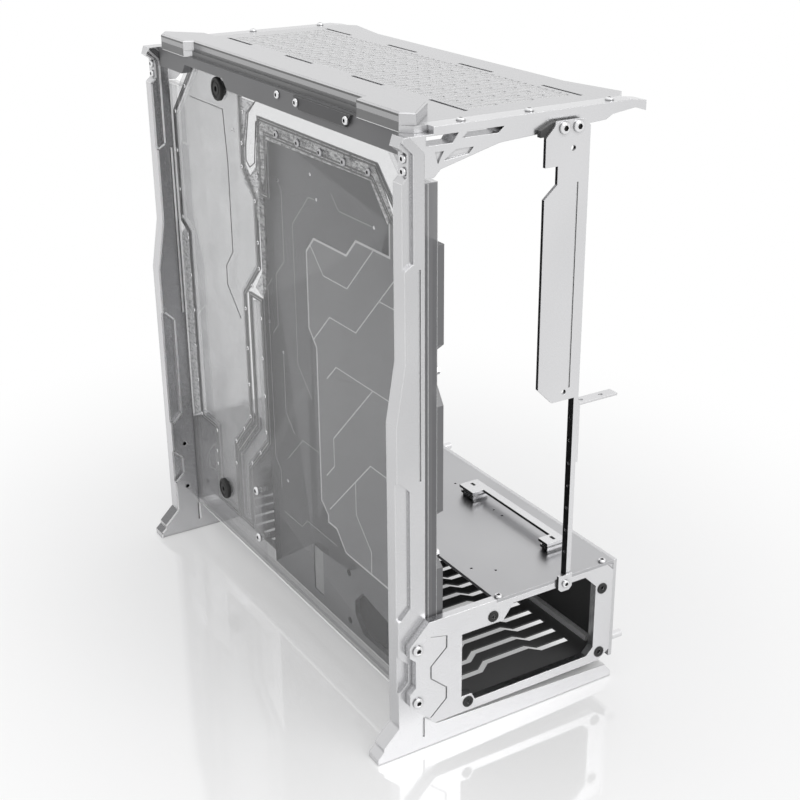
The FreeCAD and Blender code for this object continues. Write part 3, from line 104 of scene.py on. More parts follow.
class Tree:
    """The node tree of a material or the world, with short helpers to add and join nodes."""

    def __init__(self, owner, output="OutputMaterial"):
        self.owner = owner
        owner.use_nodes = True
        self.nodes = owner.node_tree.nodes
        self.links = owner.node_tree.links
        self.nodes.clear()
        self.output = self.add(output)

    def add(self, kind, inputs=None, **settings):
        node = self.nodes.new("ShaderNode" + kind)
        for key, value in settings.items():
            setattr(node, key, value)
        for key, value in (inputs or {}).items():
            self.set(node, key, value)
        return node

    def set(self, node, key, value):
        socket = node.inputs[key]
        if isinstance(value, bpy.types.NodeSocket):
            self.links.new(value, socket)
        elif isinstance(value, bpy.types.Node):
            self.links.new(value.outputs[0], socket)
        else:
            socket.default_value = value

    def math(self, operation, first, second=0.5, clamp=False):
        return self.add("Math", {0: first, 1: second}, operation=operation, use_clamp=clamp).outputs[0]

    def ramp(self, value, low, high, to_low=0.0, to_high=1.0, smooth=False):
        node = self.add("MapRange", {"Value": value, "From Min": low, "From Max": high,
                                     "To Min": to_low, "To Max": to_high})
        if smooth:
            node.interpolation_type = "SMOOTHSTEP"
        return node.outputs[0]

    def place(self, scale=(1.0, 1.0, 1.0)):
        coords = self.add("TexCoord")
        mapping = self.add("Mapping", {"Vector": coords.outputs["Object"]})
        mapping.inputs["Scale"].default_value = scale
        return mapping.outputs[0]

    def noise(self, vector, scale, detail=NOISE_DETAIL, roughness=0.55):
        return self.add("TexNoise", {"Vector": vector, "Scale": scale, "Detail": detail,
                                     "Roughness": roughness}).outputs["Fac"]

    def shift(self, value, colour, target):
        """A colour moved towards a plain one, by a value from 0 to 1."""
        mix = self.add("Mix", {"Factor": value}, data_type="RGBA")
        self.set(mix, MIX_FIRST, colour)
        self.set(mix, MIX_SECOND, (*target, 1.0))
        return mix.outputs[MIX_RESULT]

    def tint(self, value, dark, light):
        """A colour between two plain ones, by a value from 0 to 1."""
        return self.shift(value, (*dark, 1.0), light)

    def blend(self, value, first, second):
        return self.add("MixShader", {0: value, 1: first, 2: second}).outputs[0]

    def face(self):
        return self.add("NewGeometry").outputs["True Normal"]

    def normal(self):
        return self.add("SeparateXYZ", {0: self.face()})

    def position(self):
        return self.add("SeparateXYZ", {0: self.add("NewGeometry").outputs["Position"]})

    def lean(self, first, second):
        """How far two directions agree."""
        return self.add("VectorMath", {0: first, 1: second}, operation="DOT_PRODUCT").outputs["Value"]

    def soft(self, radius):
        """The normal as if edges were rounded."""
        return self.add("Bevel", {"Radius": radius}, samples=SOFT_SAMPLES).outputs[0]

    def edge(self, soft, start=EDGE_LEAN[0], end=EDGE_LEAN[1]):
        """From 0 on a flat face to 1 at its edges, by how far a rounded normal leans."""
        return self.ramp(self.lean(soft, self.face()), start, end)

    def watched(self):
        """1 for rays from the camera, metal and glass, and 0 for rays that only gather light."""
        rays = self.add("LightPath").outputs
        direct = self.math("MAXIMUM", rays["Is Camera Ray"], rays["Is Glossy Ray"])
        return self.math("MAXIMUM", direct, rays["Is Transmission Ray"])

    def finish(self, shader):
        self.set(self.output, "Surface", shader)
        return self.owner


MOTTLE_SCALE = 7.0
MOTTLE_SHARE = 0.92
MOTTLE_SPREAD = (0.35, 0.65)
GRAIN_SCALE = 2200.0
GRAIN_SHARE = 0.08
GRAIN_DEEP = 0.0001
METAL_DETAIL = 2.0
SMOOTHER = 0.03
ROUGHER = 0.04
FACE_LEAN = (0.85, 0.93)
EDGE_LIGHT_OPEN = (0.75, 0.95)
OCCLUSION_REACH = 3.0 * MM
CORNER_SHADE_TONE = (0.05, 0.05, 0.05)
CORNER_SHADE_SHUT = 0.1


def metal_shader(tree, dark, light, roughness, metallic, depth=0.02, edge=0.0008, shine=(0.92, 0.92, 0.93),
                 shades=(), seam=0.75):
    """Blasted and anodised metal: a fine grain, slow variation in tone, a painted highlight along open edges
    and painted shade in corners, holes and seams.

    Each of the shades, most of them painted light or shade, is a direction, the colour of the faces that look
    that way, and the heights between which it comes in. seam is how open a place must be to stay clear of the
    painted shade, or None.
    """
    place = tree.place()
    slow = tree.noise(place, MOTTLE_SCALE, METAL_DETAIL)
    fine = tree.noise(place, GRAIN_SCALE, METAL_DETAIL)
    both = tree.math("ADD", tree.math("MULTIPLY", slow, MOTTLE_SHARE),
                     tree.math("MULTIPLY", fine, GRAIN_SHARE))
    colour = tree.tint(tree.ramp(both, *MOTTLE_SPREAD), dark, light)
    face = tree.face()
    # Painted light and shade, mostly: faces that look one way turn lighter or darker between two heights
    for direction, tone, low, high in shades:
        turned = tree.ramp(tree.lean(face, direction), *FACE_LEAN)
        rise = tree.ramp(tree.position().outputs["Z"], low, high, smooth=True)
        colour = tree.shift(tree.math("MULTIPLY", turned, rise), colour, tone)
    soft = tree.soft(edge)
    open_air = tree.add("AmbientOcclusion", {"Distance": OCCLUSION_REACH}, samples=SOFT_SAMPLES).outputs["AO"]
    # Painted highlight along open edges
    painted_edge_light = tree.math("MULTIPLY", tree.edge(soft), tree.ramp(open_air, *EDGE_LIGHT_OPEN))
    colour = tree.shift(painted_edge_light, colour, shine)
    # Painted shade in corners, holes and seams, where little light reaches
    if seam:
        colour = tree.shift(tree.ramp(open_air, seam, CORNER_SHADE_SHUT), colour, CORNER_SHADE_TONE)
    rough = tree.ramp(fine, *NOISE_SPREAD, roughness - SMOOTHER, roughness + ROUGHER)
    bump = tree.add("Bump", {"Strength": depth, "Distance": GRAIN_DEEP, "Height": fine, "Normal": soft})
    shader = tree.add("BsdfPrincipled", {"Base Color": colour, "Roughness": rough, "Normal": bump})
    shader.inputs["Metallic"].default_value = metallic
    return shader.outputs[0]


def metal(name, dark, light, roughness, metallic=1.0, **settings):
    tree = Tree(bpy.data.materials.new(name))
    return tree.finish(metal_shader(tree, dark, light, roughness, metallic, **settings))


INNER_SHADE_ROUGH = 0.45
INNER_SHADE_EDGE_TONE = (0.08, 0.08, 0.08)
HALF_TURNED = 0.5


def metal_with_painted_inner_shade(name):
    """Bright aluminium, with painted shade in black on the side that faces into the bay."""
    tree = Tree(bpy.data.materials.new(name))
    bright = metal_shader(tree, SILVER_DARK, SILVER_LIGHT, SILVER_ROUGH, 1.0)
    # Painted shade: the inside of the bay in black
    inner_shade = metal_shader(tree, BLACK_DARK, BLACK_LIGHT, INNER_SHADE_ROUGH, 0.0, shine=INNER_SHADE_EDGE_TONE)
    inward = tree.math("LESS_THAN", tree.normal().outputs["X"], -HALF_TURNED)
    along = tree.math("ABSOLUTE", tree.position().outputs["Y"])
    inside = tree.math("LESS_THAN", along, -PLATE_HIGH[1])
    return tree.finish(tree.blend(tree.math("MULTIPLY", inward, inside), bright, inner_shade))


RUBBER_SCALE = 900.0
RUBBER_BUMP = 0.15
RUBBER_DEEP = 0.0002
RUBBER_VARY = 0.06
RIM_LEAN = (0.985, 0.9)


def rubber(name, dark, light, roughness, rim=None, edge=0.0006):
    """Matt rubber or paint with a faint mottle and, on a seal, a darker line along its edges."""
    tree = Tree(bpy.data.materials.new(name))
    fine = tree.noise(tree.place(), RUBBER_SCALE)
    colour = tree.tint(fine, dark, light)
    if rim:
        colour = tree.shift(tree.edge(tree.soft(edge), *RIM_LEAN), colour, rim)
    bump = tree.add("Bump", {"Strength": RUBBER_BUMP, "Distance": RUBBER_DEEP, "Height": fine})
    rough = tree.ramp(fine, *NOISE_SPREAD, roughness - RUBBER_VARY, roughness + RUBBER_VARY)
    shader = tree.add("BsdfPrincipled", {"Base Color": colour, "Roughness": rough, "Normal": bump})
    return tree.finish(shader)


# Acrylic: shares of milk, painted shade and painted highlight, and the heights and depths in metres at which
# they come in
WALL_LEAN = (0.9, 0.5)
WALL_MILK = 0.10
CLOUD_SCALE = 30.0
CLOUD_SHARE = (0.85, 1.15)
POCKET_MILK = 0.35
NEAR_FACE = 0.0002
FLOOR_NEAR = (0.0003, 0.0004)
FLOOR_HEIGHTS = (0.30, 0.13)
FLOOR_MILK = (0.50, 0.80)
MIST_HEIGHTS = (0.145, 0.105)
MIST_MOST = 0.25
MIST_FADE = 0.004
UNDER_SHADE_SHARE = 0.3
END_SHADE_SHARE = 0.88
NEAR_END = 0.0005
EDGE_HIGHLIGHT_WIDE = 0.0012
EDGE_HIGHLIGHT_LEAN = (0.97, 0.8)
EDGE_HIGHLIGHT_SHARE = 0.8
MILK_TONE = (0.60, 0.60, 0.61, 1.0)
MILK_ROUGH = 0.3
EDGE_HIGHLIGHT_TONE = (0.93, 0.94, 0.94, 1.0)
EDGE_HIGHLIGHT_ROUGH = 0.2
PAINTED_SHADE_TONE = (0.17, 0.17, 0.175, 1.0)
POLISH_ROUGH = 0.02
POLISH_IOR = 1.3


def acrylic(name, tint, haze_face, floor_x=None):
    """Clear polished acrylic: see-through faces, hazy milled walls and floors, a painted highlight along its
    edges, and painted shade on its low walls and on its end face towards −Y.
    """
    tree = Tree(bpy.data.materials.new(name))
    front = tree.math("SUBTRACT", 1.0, tree.add("NewGeometry").outputs["Backfacing"])
    facing = tree.normal().outputs
    depth, along, height = tree.position().outputs
    wall = tree.ramp(tree.math("ABSOLUTE", facing["X"]), *WALL_LEAN)
    flat = tree.math("SUBTRACT", 1.0, wall)
    cloud = tree.noise(tree.place(), CLOUD_SCALE)
    uneven = tree.ramp(cloud, *NOISE_SPREAD, *CLOUD_SHARE)
    milk = tree.math("ADD", tree.math("MULTIPLY", wall, WALL_MILK), haze_face)
    if floor_x is not None:
        above = tree.math("SUBTRACT", depth, floor_x)
        pocket = tree.math("MULTIPLY", wall, tree.math("LESS_THAN", above, NEAR_FACE))
        milk = tree.math("ADD", milk, tree.math("MULTIPLY", pocket, POCKET_MILK))
        near = tree.ramp(tree.math("ABSOLUTE", above), *FLOOR_NEAR, 1.0, 0.0)
        floor = tree.math("MULTIPLY", near, tree.ramp(height, *FLOOR_HEIGHTS, *FLOOR_MILK))
        milk = tree.math("ADD", milk, tree.math("MULTIPLY", floor, flat))
    mist = tree.ramp(height, *MIST_HEIGHTS, 0.0, MIST_MOST)
    beside_tray = tree.ramp(along, TRAY_HIGH[1], TRAY_HIGH[1] + MIST_FADE)
    mist = tree.math("MULTIPLY", mist, beside_tray)
    milk = tree.math("ADD", milk, tree.math("MULTIPLY", mist, flat))
    milk = tree.math("MULTIPLY", milk, uneven, clamp=True)
    # Painted shade on the low walls and on the end face towards −Y
    low = tree.math("LESS_THAN", height, BASE_LOW[2] + NEAR_FACE)
    under_shade = tree.math("MULTIPLY", tree.math("MULTIPLY", low, wall), UNDER_SHADE_SHARE)
    rearward = tree.math("LESS_THAN", facing["Y"], -HALF_TURNED)
    last = tree.math("LESS_THAN", along, BASE_LOW[1] + NEAR_END)
    end = tree.math("MULTIPLY", tree.math("MULTIPLY", rearward, last), END_SHADE_SHARE)
    # Painted highlight along the edges
    rim = tree.math("MULTIPLY", tree.edge(tree.soft(EDGE_HIGHLIGHT_WIDE), *EDGE_HIGHLIGHT_LEAN), EDGE_HIGHLIGHT_SHARE)
    clear = tree.add("BsdfTransparent", {"Color": (*tint, 1.0)})
    gloss = tree.add("BsdfGlossy", {"Color": WHITE, "Roughness": POLISH_ROUGH})
    mirror = tree.math("MULTIPLY", tree.add("Fresnel", {"IOR": POLISH_IOR}).outputs[0], front)
    body = tree.add("BsdfPrincipled", {"Base Color": MILK_TONE, "Roughness": MILK_ROUGH})
    painted_shade = tree.add("BsdfDiffuse", {"Color": PAINTED_SHADE_TONE})
    bright = tree.add("BsdfPrincipled", {"Base Color": EDGE_HIGHLIGHT_TONE, "Roughness": EDGE_HIGHLIGHT_ROUGH})
    seen = tree.blend(mirror, clear, gloss)
    seen = tree.blend(milk, seen, body)
    seen = tree.blend(tree.math("MAXIMUM", under_shade, end), seen, painted_shade)
    return tree.finish(tree.blend(rim, seen, bright))


STREAK_STRETCH = (1.0, 0.6, 1.6)
STREAK_SCALE = 330.0
STREAK_DETAIL = 4.0
STREAK_ROUGH = 0.7
STREAK_SPREAD = (0.36, 0.60)
STREAK_DARK = (0.16, 0.16, 0.165)
STREAK_LIGHT = (0.97, 0.97, 0.97)
FROST_ROUGH = 0.35
FROST_CLEAR = (0.96, 0.96, 0.965, 1.0)


def frosted(name, clear_share):
    """Acrylic left rough by the cutter: pale, streaked and half see-through."""
    tree = Tree(bpy.data.materials.new(name))
    streak = tree.noise(tree.place(STREAK_STRETCH), STREAK_SCALE, STREAK_DETAIL, STREAK_ROUGH)
    colour = tree.tint(tree.ramp(streak, *STREAK_SPREAD), STREAK_DARK, STREAK_LIGHT)
    body = tree.add("BsdfPrincipled", {"Base Color": colour, "Roughness": FROST_ROUGH})
    clear = tree.add("BsdfTransparent", {"Color": FROST_CLEAR})
    return tree.finish(tree.blend(clear_share, body, clear))


FLOOR_SQUEEZE = (1.0, 0.8, 0.0)
FLOOR_SCALE = 4.0
FLOOR_DETAIL = 2.0
FLOOR_DARK = (0.90, 0.90, 0.905)
FLOOR_LIGHT = (0.93, 0.93, 0.93)
FLOOR_GLOSS = (0.95, 0.95, 0.96, 1.0)
FLOOR_ROUGH = 0.06
FLOOR_MIRROR = 0.22


def floor_material():
    """A pale glossy floor: it mirrors the case and keeps its shadow near it, and fades to white around."""
    tree = Tree(bpy.data.materials.new("studio_floor"))
    place = tree.add("NewGeometry").outputs["Position"]
    flat = tree.add("VectorMath", {0: place, 1: FLOOR_SQUEEZE, 2: (-FADE_SHIFT, 0.0, 0.0)},
                    operation="MULTIPLY_ADD")
    reach = tree.add("VectorMath", {0: flat}, operation="LENGTH").outputs["Value"]
    fade = tree.ramp(reach, FADE_INNER, FADE_OUTER, FADE_LEAST, 1.0, smooth=True)
    mottle = tree.noise(tree.place(), FLOOR_SCALE, FLOOR_DETAIL)
    matt = tree.add("BsdfDiffuse", {"Color": tree.tint(mottle, FLOOR_DARK, FLOOR_LIGHT)})
    gloss = tree.add("BsdfGlossy", {"Color": FLOOR_GLOSS, "Roughness": FLOOR_ROUGH})
    near = tree.blend(FLOOR_MIRROR, matt, gloss)
    white = tree.add("Emission", {"Color": WHITE, "Strength": 1.0})
    return tree.finish(tree.blend(tree.math("MULTIPLY", fade, tree.watched()), near, white))


# Tones, and shades: painted light and painted shade by the way that a face looks and its height in metres,
# besides LOW_TRAY, which only makes the tray lighter towards the bottom
SILVER_DARK = (0.58, 0.58, 0.59)
SILVER_LIGHT = (0.65, 0.65, 0.66)
SILVER_ROUGH = 0.25
# A lighter copy of the silver, as painted light
BRIGHT_DARK = (0.68, 0.68, 0.69)
BRIGHT_LIGHT = (0.74, 0.74, 0.75)
GREY_DARK = (0.23, 0.23, 0.235)
GREY_LIGHT = (0.265, 0.265, 0.27)
BLACK_DARK = (0.040, 0.040, 0.041)
BLACK_LIGHT = (0.055, 0.055, 0.056)
ACRYLIC_TINT = (0.925, 0.926, 0.928)
ANY_HEIGHT = (-1.0, -0.9)
OUTWARD = (-1.0, 0.0, 0.0)
REARWARD = (0.0, -1.0, 0.0)
FOOT_SLOPE = (-0.74, 0.0, 0.67)
SLOPE_SHADE = (FOOT_SLOPE, (0.20, 0.20, 0.205), 0.075, 0.065)
TOP_SHADE = ((0.0, 0.0, 1.0), (0.545, 0.545, 0.555), *ANY_HEIGHT)
END_SHADE = (REARWARD, (0.16, 0.16, 0.165), *ANY_HEIGHT)
LOW_TRAY = (OUTWARD, (0.29, 0.29, 0.295), 0.20, 0.09)
# Painted reflection: faces towards −Y lighter towards the bottom
LOW_PAINTED_REFLECTION = (REARWARD, (0.80, 0.80, 0.81), 0.06, 0.02)
WIDE_EDGE = 0.0013
THIN_EDGE = 0.0004

# The record's materials, and those of single nodes and pieces
MATERIALS = {
    "silver_aluminium": metal("blasted_aluminium", SILVER_DARK, SILVER_LIGHT, SILVER_ROUGH),
    "dark_anodised": metal("dark_anodised", GREY_DARK, GREY_LIGHT, 0.45, 0.2, depth=0.004,
                           shine=(0.4, 0.4, 0.4), shades=[LOW_TRAY, END_SHADE], seam=None),
    "rail_anodised": metal("rail_anodised", (0.16, 0.16, 0.165), (0.19, 0.19, 0.195), 0.45, 0.2,
                           depth=0.004, shine=(0.4, 0.4, 0.4)),
    "clear_acrylic": acrylic("clear_acrylic", ACRYLIC_TINT, 0.02),
    "soft_seal": rubber("soft_seal", (0.62, 0.62, 0.62), (0.72, 0.72, 0.72), 0.5,
                        rim=(0.07, 0.07, 0.07)),
    "black_rubber": rubber("black_rubber", (0.010, 0.010, 0.010), (0.022, 0.022, 0.022), 0.6),
    "black_paint": metal("black_paint", BLACK_DARK, BLACK_LIGHT, 0.45, 0.0, shine=(0.12, 0.12, 0.12)),
    "steel": metal("polished_steel", (0.74, 0.74, 0.75), (0.82, 0.82, 0.83), 0.14, edge=0.0003),
    "milled_acrylic": acrylic("milled_acrylic", ACRYLIC_TINT, 0.02, BASE_LOW[0] + CHANNEL_DEPTH),
    "frosted_band": frosted("frosted_band", 0.25),
    "frosted_strip": frosted("frosted_strip", 0.55),
    "bay_wall": metal_with_painted_inner_shade("bay_wall_metal"),
    # Painted reflection: the near upright's faces towards −Y lighter towards the bottom
    "near_upright": metal("near_upright", SILVER_DARK, SILVER_LIGHT, SILVER_ROUGH, edge=WIDE_EDGE,
                          shades=[LOW_PAINTED_REFLECTION], seam=0.5),
    # Painted shade: the far upright's faces towards −Y darker towards the top and its foot's slopes dark, with
    # a brighter painted highlight on its edges
    "far_upright": metal("far_upright", SILVER_DARK, SILVER_LIGHT, SILVER_ROUGH, edge=WIDE_EDGE,
                         shine=(0.97, 0.97, 0.97),
                         shades=[(REARWARD, (0.28, 0.28, 0.285), 0.06, 0.42), SLOPE_SHADE]),
    # Painted light: the near end's plate, arm and card support in the lighter copy of the silver
    "bright_sheet": metal("bright_sheet", BRIGHT_DARK, BRIGHT_LIGHT, SILVER_ROUGH),
    # Painted reflection: the folded sheet's faces towards −X dark, as if mirroring the dark tray
    "folded_sheet": metal("folded_sheet", BRIGHT_DARK, BRIGHT_LIGHT, SILVER_ROUGH, edge=THIN_EDGE,
                          shades=[(OUTWARD, (0.05, 0.05, 0.05), *ANY_HEIGHT)]),
    # Painted shade on the roof sheet's top faces
    "roof_sheet": metal("roof_sheet", SILVER_DARK, SILVER_LIGHT, SILVER_ROUGH, edge=THIN_EDGE, seam=0.35,
                        shades=[TOP_SHADE]),
    # Painted shade on the roof edge's faces towards −X and on its top, and its edges painted dark
    "roof_edge": metal("roof_edge", SILVER_DARK, SILVER_LIGHT, SILVER_ROUGH, edge=0.0006,
                       shine=(0.10, 0.10, 0.10),
                       shades=[(OUTWARD, (0.36, 0.36, 0.365), *ANY_HEIGHT), TOP_SHADE]),
    # Painted highlight: bright metal strips along edges
    "highlight_line": metal("highlight_line", (0.93, 0.93, 0.935), (0.97, 0.97, 0.97), 0.3,
                           edge=THIN_EDGE, seam=0.2),
    "grey_line": rubber("grey_line", (0.17, 0.17, 0.172), (0.21, 0.21, 0.212), 0.4),
    "floor_paint": metal("floor_paint", (0.09, 0.09, 0.091), (0.115, 0.115, 0.116), 0.4, 0.0, seam=0.3,
                         shine=(0.14, 0.14, 0.14)),
    "dull_sheet": metal("dull_sheet", (0.45, 0.45, 0.46), (0.50, 0.50, 0.51), 0.32, edge=THIN_EDGE),
    # Painted light: the bay's ledge in near white, to look lit inside the dark bay
    "ledge_painted_light": metal("ledge_painted_light", (0.88, 0.88, 0.89), (0.95, 0.95, 0.95), 0.4, 0.1, seam=0.2),
    "deep_anodised": metal("deep_anodised", (0.055, 0.055, 0.058), (0.075, 0.075, 0.078), 0.4, 0.2,
                           shine=(0.45, 0.45, 0.45)),
    "pale_anodised": metal("pale_anodised", (0.295, 0.295, 0.30), (0.335, 0.335, 0.34), 0.45, 0.2,
                           depth=0.004, shine=(0.4, 0.4, 0.4), seam=None),
    "white_fill": rubber("white_fill", (0.84, 0.84, 0.84), (0.92, 0.92, 0.92), 0.5),
    "faint_fill": rubber("faint_fill", (0.50, 0.50, 0.50), (0.56, 0.56, 0.56), 0.5),
    "cut_line": rubber("cut_line", (0.09, 0.09, 0.09), (0.15, 0.15, 0.15), 0.3),
}

# Nodes that look different from the rest of their slot
SPECIAL = {
    "coolant_base": "milled_acrylic", "bay_wall": "bay_wall", "front_upright": "far_upright",
    "rear_upright": "near_upright", "expansion_bracket": "folded_sheet", "riser_mount": "folded_sheet",
    "roof_panel": "roof_sheet", "roof_lip": "roof_edge", "bay_ledge": "ledge_painted_light",
    "bay_cover": "dull_sheet", "name_plate": "deep_anodised", "top_rail": "rail_anodised",
    "bay_floor": "floor_paint", "rear_end_plate": "bright_sheet", "rear_arm": "bright_sheet",
    "card_support": "bright_sheet",
}
for subpart in frame["record"]["subparts"]:
    name = subpart["node"]
    node = NODES[name]
    material = MATERIALS[SPECIAL.get(name, subpart["material_slot"])]
    if not node.material_slots:
        node.data.materials.append(material)
    for place in node.material_slots:
        place.material = material

SMOOTH_BELOW = math.radians(32)


def piece(name, bm, material, smooth=True, second=None):
    """A finished piece from a bmesh, on the case's one body; second is the material of its marked faces."""
    bmesh.ops.recalc_face_normals(bm, faces=bm.faces[:])
    mesh = bpy.data.meshes.new(name)
    bm.to_mesh(mesh)
    bm.free()
    mesh.materials.append(MATERIALS[material])
    if second:
        mesh.materials.append(MATERIALS[second])
    if smooth:
        mesh.polygons.foreach_set("use_smooth", [True] * len(mesh.polygons))
        mesh.set_sharp_from_angle(angle=SMOOTH_BELOW)
    thing = bpy.data.objects.new(name, mesh)
    scene.collection.objects.link(thing)
    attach(thing, "root")
    return thing


AXIS_TURNS = {
    "Z": Matrix.Identity(3),
    "-X": Matrix.Rotation(-math.pi / 2, 3, "Y"),
    "X": Matrix.Rotation(math.pi / 2, 3, "Y"),
    "-Y": Matrix.Rotation(math.pi / 2, 3, "X"),
    "Y": Matrix.Rotation(-math.pi / 2, 3, "X"),
}


def add_rings(bm, rings, centre, axis, close=True, marked=0):
    """Joins rings of points, given as (radius or its function, height), into a turned form at a place.

    marked is how many of the last rows of faces, the end among them, take the second material.
    """
    turn = AXIS_TURNS[axis]
    rows = []
    for radius, height in rings:
        row = []
        for index in range(HEAD_SEGMENTS):
            angle = 2 * math.pi * index / HEAD_SEGMENTS
            reach = radius(angle) if callable(radius) else radius
            point = Vector((reach * math.cos(angle), reach * math.sin(angle), height))
            row.append(bm.verts.new(centre + turn @ point))
        rows.append(row)
    last = len(rows) - 1
    for number, (low, high) in enumerate(zip(rows, rows[1:])):
        for index in range(HEAD_SEGMENTS):
            after = (index + 1) % HEAD_SEGMENTS
            face = bm.faces.new((low[index], low[after], high[after], high[index]))
            face.material_index = 1 if number > last - marked else 0
    if close:
        bm.faces.new(rows[0])
        end = bm.faces.new(rows[-1])
        end.material_index = 1 if marked else 0


def hex_reach(flat):
    """The reach of a hexagon's edge at an angle, for a given half width across its flats."""
    sector = math.pi / 3
    return lambda angle: flat / math.cos((angle % sector) - sector / 2)


# A button head's skirt and dome as shares of its radius and height, and its socket as shares of the socket
HEAD_SKIRT = [(0.96, 0.0), (1.0, 0.08), (1.0, 0.3)]
HEAD_CROWN = 0.55
DOME_STEPS = 6
SOCKET_WIDE = 0.42
SOCKET_PROFILE = [(1.12, 1.0), (1.0, 0.93), (1.0, 0.35)]
SOCKET_ROWS = 2


def add_button_head(bm, centre, axis, radius, high):
    """A button screw head: a short skirt, a domed top and a hex socket."""
    rings = [(radius * wide, high * tall) for wide, tall in HEAD_SKIRT]
    skirt = HEAD_SKIRT[-1][1]
    for step in range(1, DOME_STEPS):
        angle = math.pi / 2 * step / DOME_STEPS
        wide = HEAD_CROWN + (1.0 - HEAD_CROWN) * math.cos(angle)
        rings.append((radius * wide, high * (skirt + (1.0 - skirt) * math.sin(angle))))
    socket = radius * SOCKET_WIDE
    rings += [(hex_reach(socket * wide), high * tall) for wide, tall in SOCKET_PROFILE]
    add_rings(bm, rings, centre, axis, marked=SOCKET_ROWS)


def solids_of(node):
    """The box of each separate solid in a CAD node."""
    mesh = NODES[node].data
    owner = {}
    parent = []

    def root(index):
        while parent[index] != index:
            index = parent[index]
        return index

    keys = []
    for vertex in mesh.vertices:
        key = tuple(round(value, 6) for value in vertex.co)
        if key not in owner:
            owner[key] = len(parent)
            parent.append(len(parent))
        keys.append(owner[key])
    for polygon in mesh.polygons:
        first = root(keys[polygon.vertices[0]])
        for other in polygon.vertices[1:]:
            parent[root(keys[other])] = first
    groups = {}
    for key, index in owner.items():
        groups.setdefault(root(index), []).append(key)
    boxes = []
    for points in groups.values():
        low = Vector([min(point[axis] for point in points) for axis in range(3)])
        high = Vector([max(point[axis] for point in points) for axis in range(3)])
        boxes.append((low, high))
    return sorted(boxes, key=lambda pair: tuple(pair[0]))


# Screws, with the way their heads look; the second material of each look is painted shade in the hex sockets
SCREWS = {
    "rear_plate_screws": "-Y", "front_plate_screws": "Y", "rear_column_screws": "-X",
    "front_column_screws": "-X", "rear_arm_screws": "Z", "front_arm_screws": "Z", "rail_screws": "-X",
    "bracket_screws": "-Y", "lug_screw": "-Y", "cover_screws": "Z", "coolant_plate_screws": "-X",
    "bridge_screws": "-X",
}
LARGE_HEAD = 2.6 * MM
SMALL_HEAD = 2.2 * MM
HEAD_LOOK = ("steel", "black_rubber")
DULL_LOOK = ("dull_sheet", "grey_line")
DULL_SCREWS = ("bridge_screws",)
LARGE_SCREWS = ("rear_plate_screws", "front_plate_screws", "bracket_screws", "coolant_plate_screws")

for node, axis in SCREWS.items():
    bm = bmesh.new()
    high = LARGE_HEAD if node in LARGE_SCREWS else SMALL_HEAD
    index = "XYZ".index(axis[-1])
    across = (index + 1) % 3
    for low_corner, high_corner in solids_of(node):
        seat = (low_corner + high_corner) / 2
        radius = (high_corner[across] - low_corner[across]) / 2
        if axis.startswith("-"):
            seat[index] = low_corner[index] + high
        else:
            seat[index] = high_corner[index] - high
        add_button_head(bm, seat, axis, radius, high)
    outer, socket = DULL_LOOK if node in DULL_SCREWS else HEAD_LOOK
    head = piece(node + "_heads", bm, outer, second=socket)
    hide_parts(node)

MITRE_LEAST = 0.35


def band(path, wide, closed=False):
    """The two sides of a line of even width along a path of (y, z) places."""
    left, right = [], []
    count = len(path)
    points = [Vector(point) for point in path]
    for index, point in enumerate(points):
        before = (point - points[index - 1]).normalized() if index or closed else None
        after = (points[(index + 1) % count] - point).normalized() if index + 1 < count or closed else None
        first, second = before or after, after or before
        middle = (first + second).normalized()
        side = Vector((-middle.y, middle.x))
        reach = wide / 2 / max(MITRE_LEAST, side.dot(Vector((-first.y, first.x))))
        left.append(point + side * reach)
        right.append(point - side * reach)
    return left, right


def add_line(bm, path, wide, low_x, high_x, closed=False):
    """A thin inlaid line between two depths, open or closed on itself."""
    left, right = band(path, wide, closed)
    rows = [[bm.verts.new((x, place.x, place.y)) for place in side]
            for x in (low_x, high_x) for side in (left, right)]
    near_left, near_right, far_left, far_right = rows
    count = len(path)
    for index in range(count if closed else count - 1):
        after = (index + 1) % count
        bm.faces.new((near_left[index], near_left[after], near_right[after], near_right[index]))
        bm.faces.new((far_left[index], far_right[index], far_right[after], far_left[after]))
        bm.faces.new((near_left[index], far_left[index], far_left[after], near_left[after]))
        bm.faces.new((near_right[index], near_right[after], far_right[after], far_right[index]))
    if not closed:
        for end in (0, -1):
            bm.faces.new((near_left[end], near_right[end], far_right[end], far_left[end]))


def add_prism(bm, ends):
    """A solid between two like outlines."""
    rows = [[bm.verts.new(place) for place in end] for end in ends]
    for row in rows:
        bm.faces.new(row)
    count = len(rows[0])
    for index in range(count):
        after = (index + 1) % count
        bm.faces.new((rows[0][index], rows[0][after], rows[1][after], rows[1][index]))


def outlines_of(node):
    """The closed outlines of a flat CAD node's face towards the cover, as (y, z) places."""
    bm = bmesh.new()
    bm.from_mesh(NODES[node].data)
    bmesh.ops.remove_doubles(bm, verts=bm.verts[:], dist=SAME_PLACE)
    face_x = min(vertex.co.x for vertex in bm.verts)
    following = {}
    for face in bm.faces:
        if any(abs(vertex.co.x - face_x) > SAME_PLACE for vertex in face.verts):
            continue
        for loop in face.loops:
            across = loop.link_loop_radial_next.face
            if any(abs(vertex.co.x - face_x) > SAME_PLACE for vertex in across.verts):
                following[loop.vert.index] = loop.link_loop_next.vert.index
    bm.verts.ensure_lookup_table()
    places = {index: (bm.verts[index].co.y, bm.verts[index].co.z) for index in following}
    bm.free()
    found = []
    while following:
        start, step = following.popitem()
        path = [places[start]]
        while step != start:
            path.append(places[step])
            step = following.pop(step)
        found.append(path)
    return found


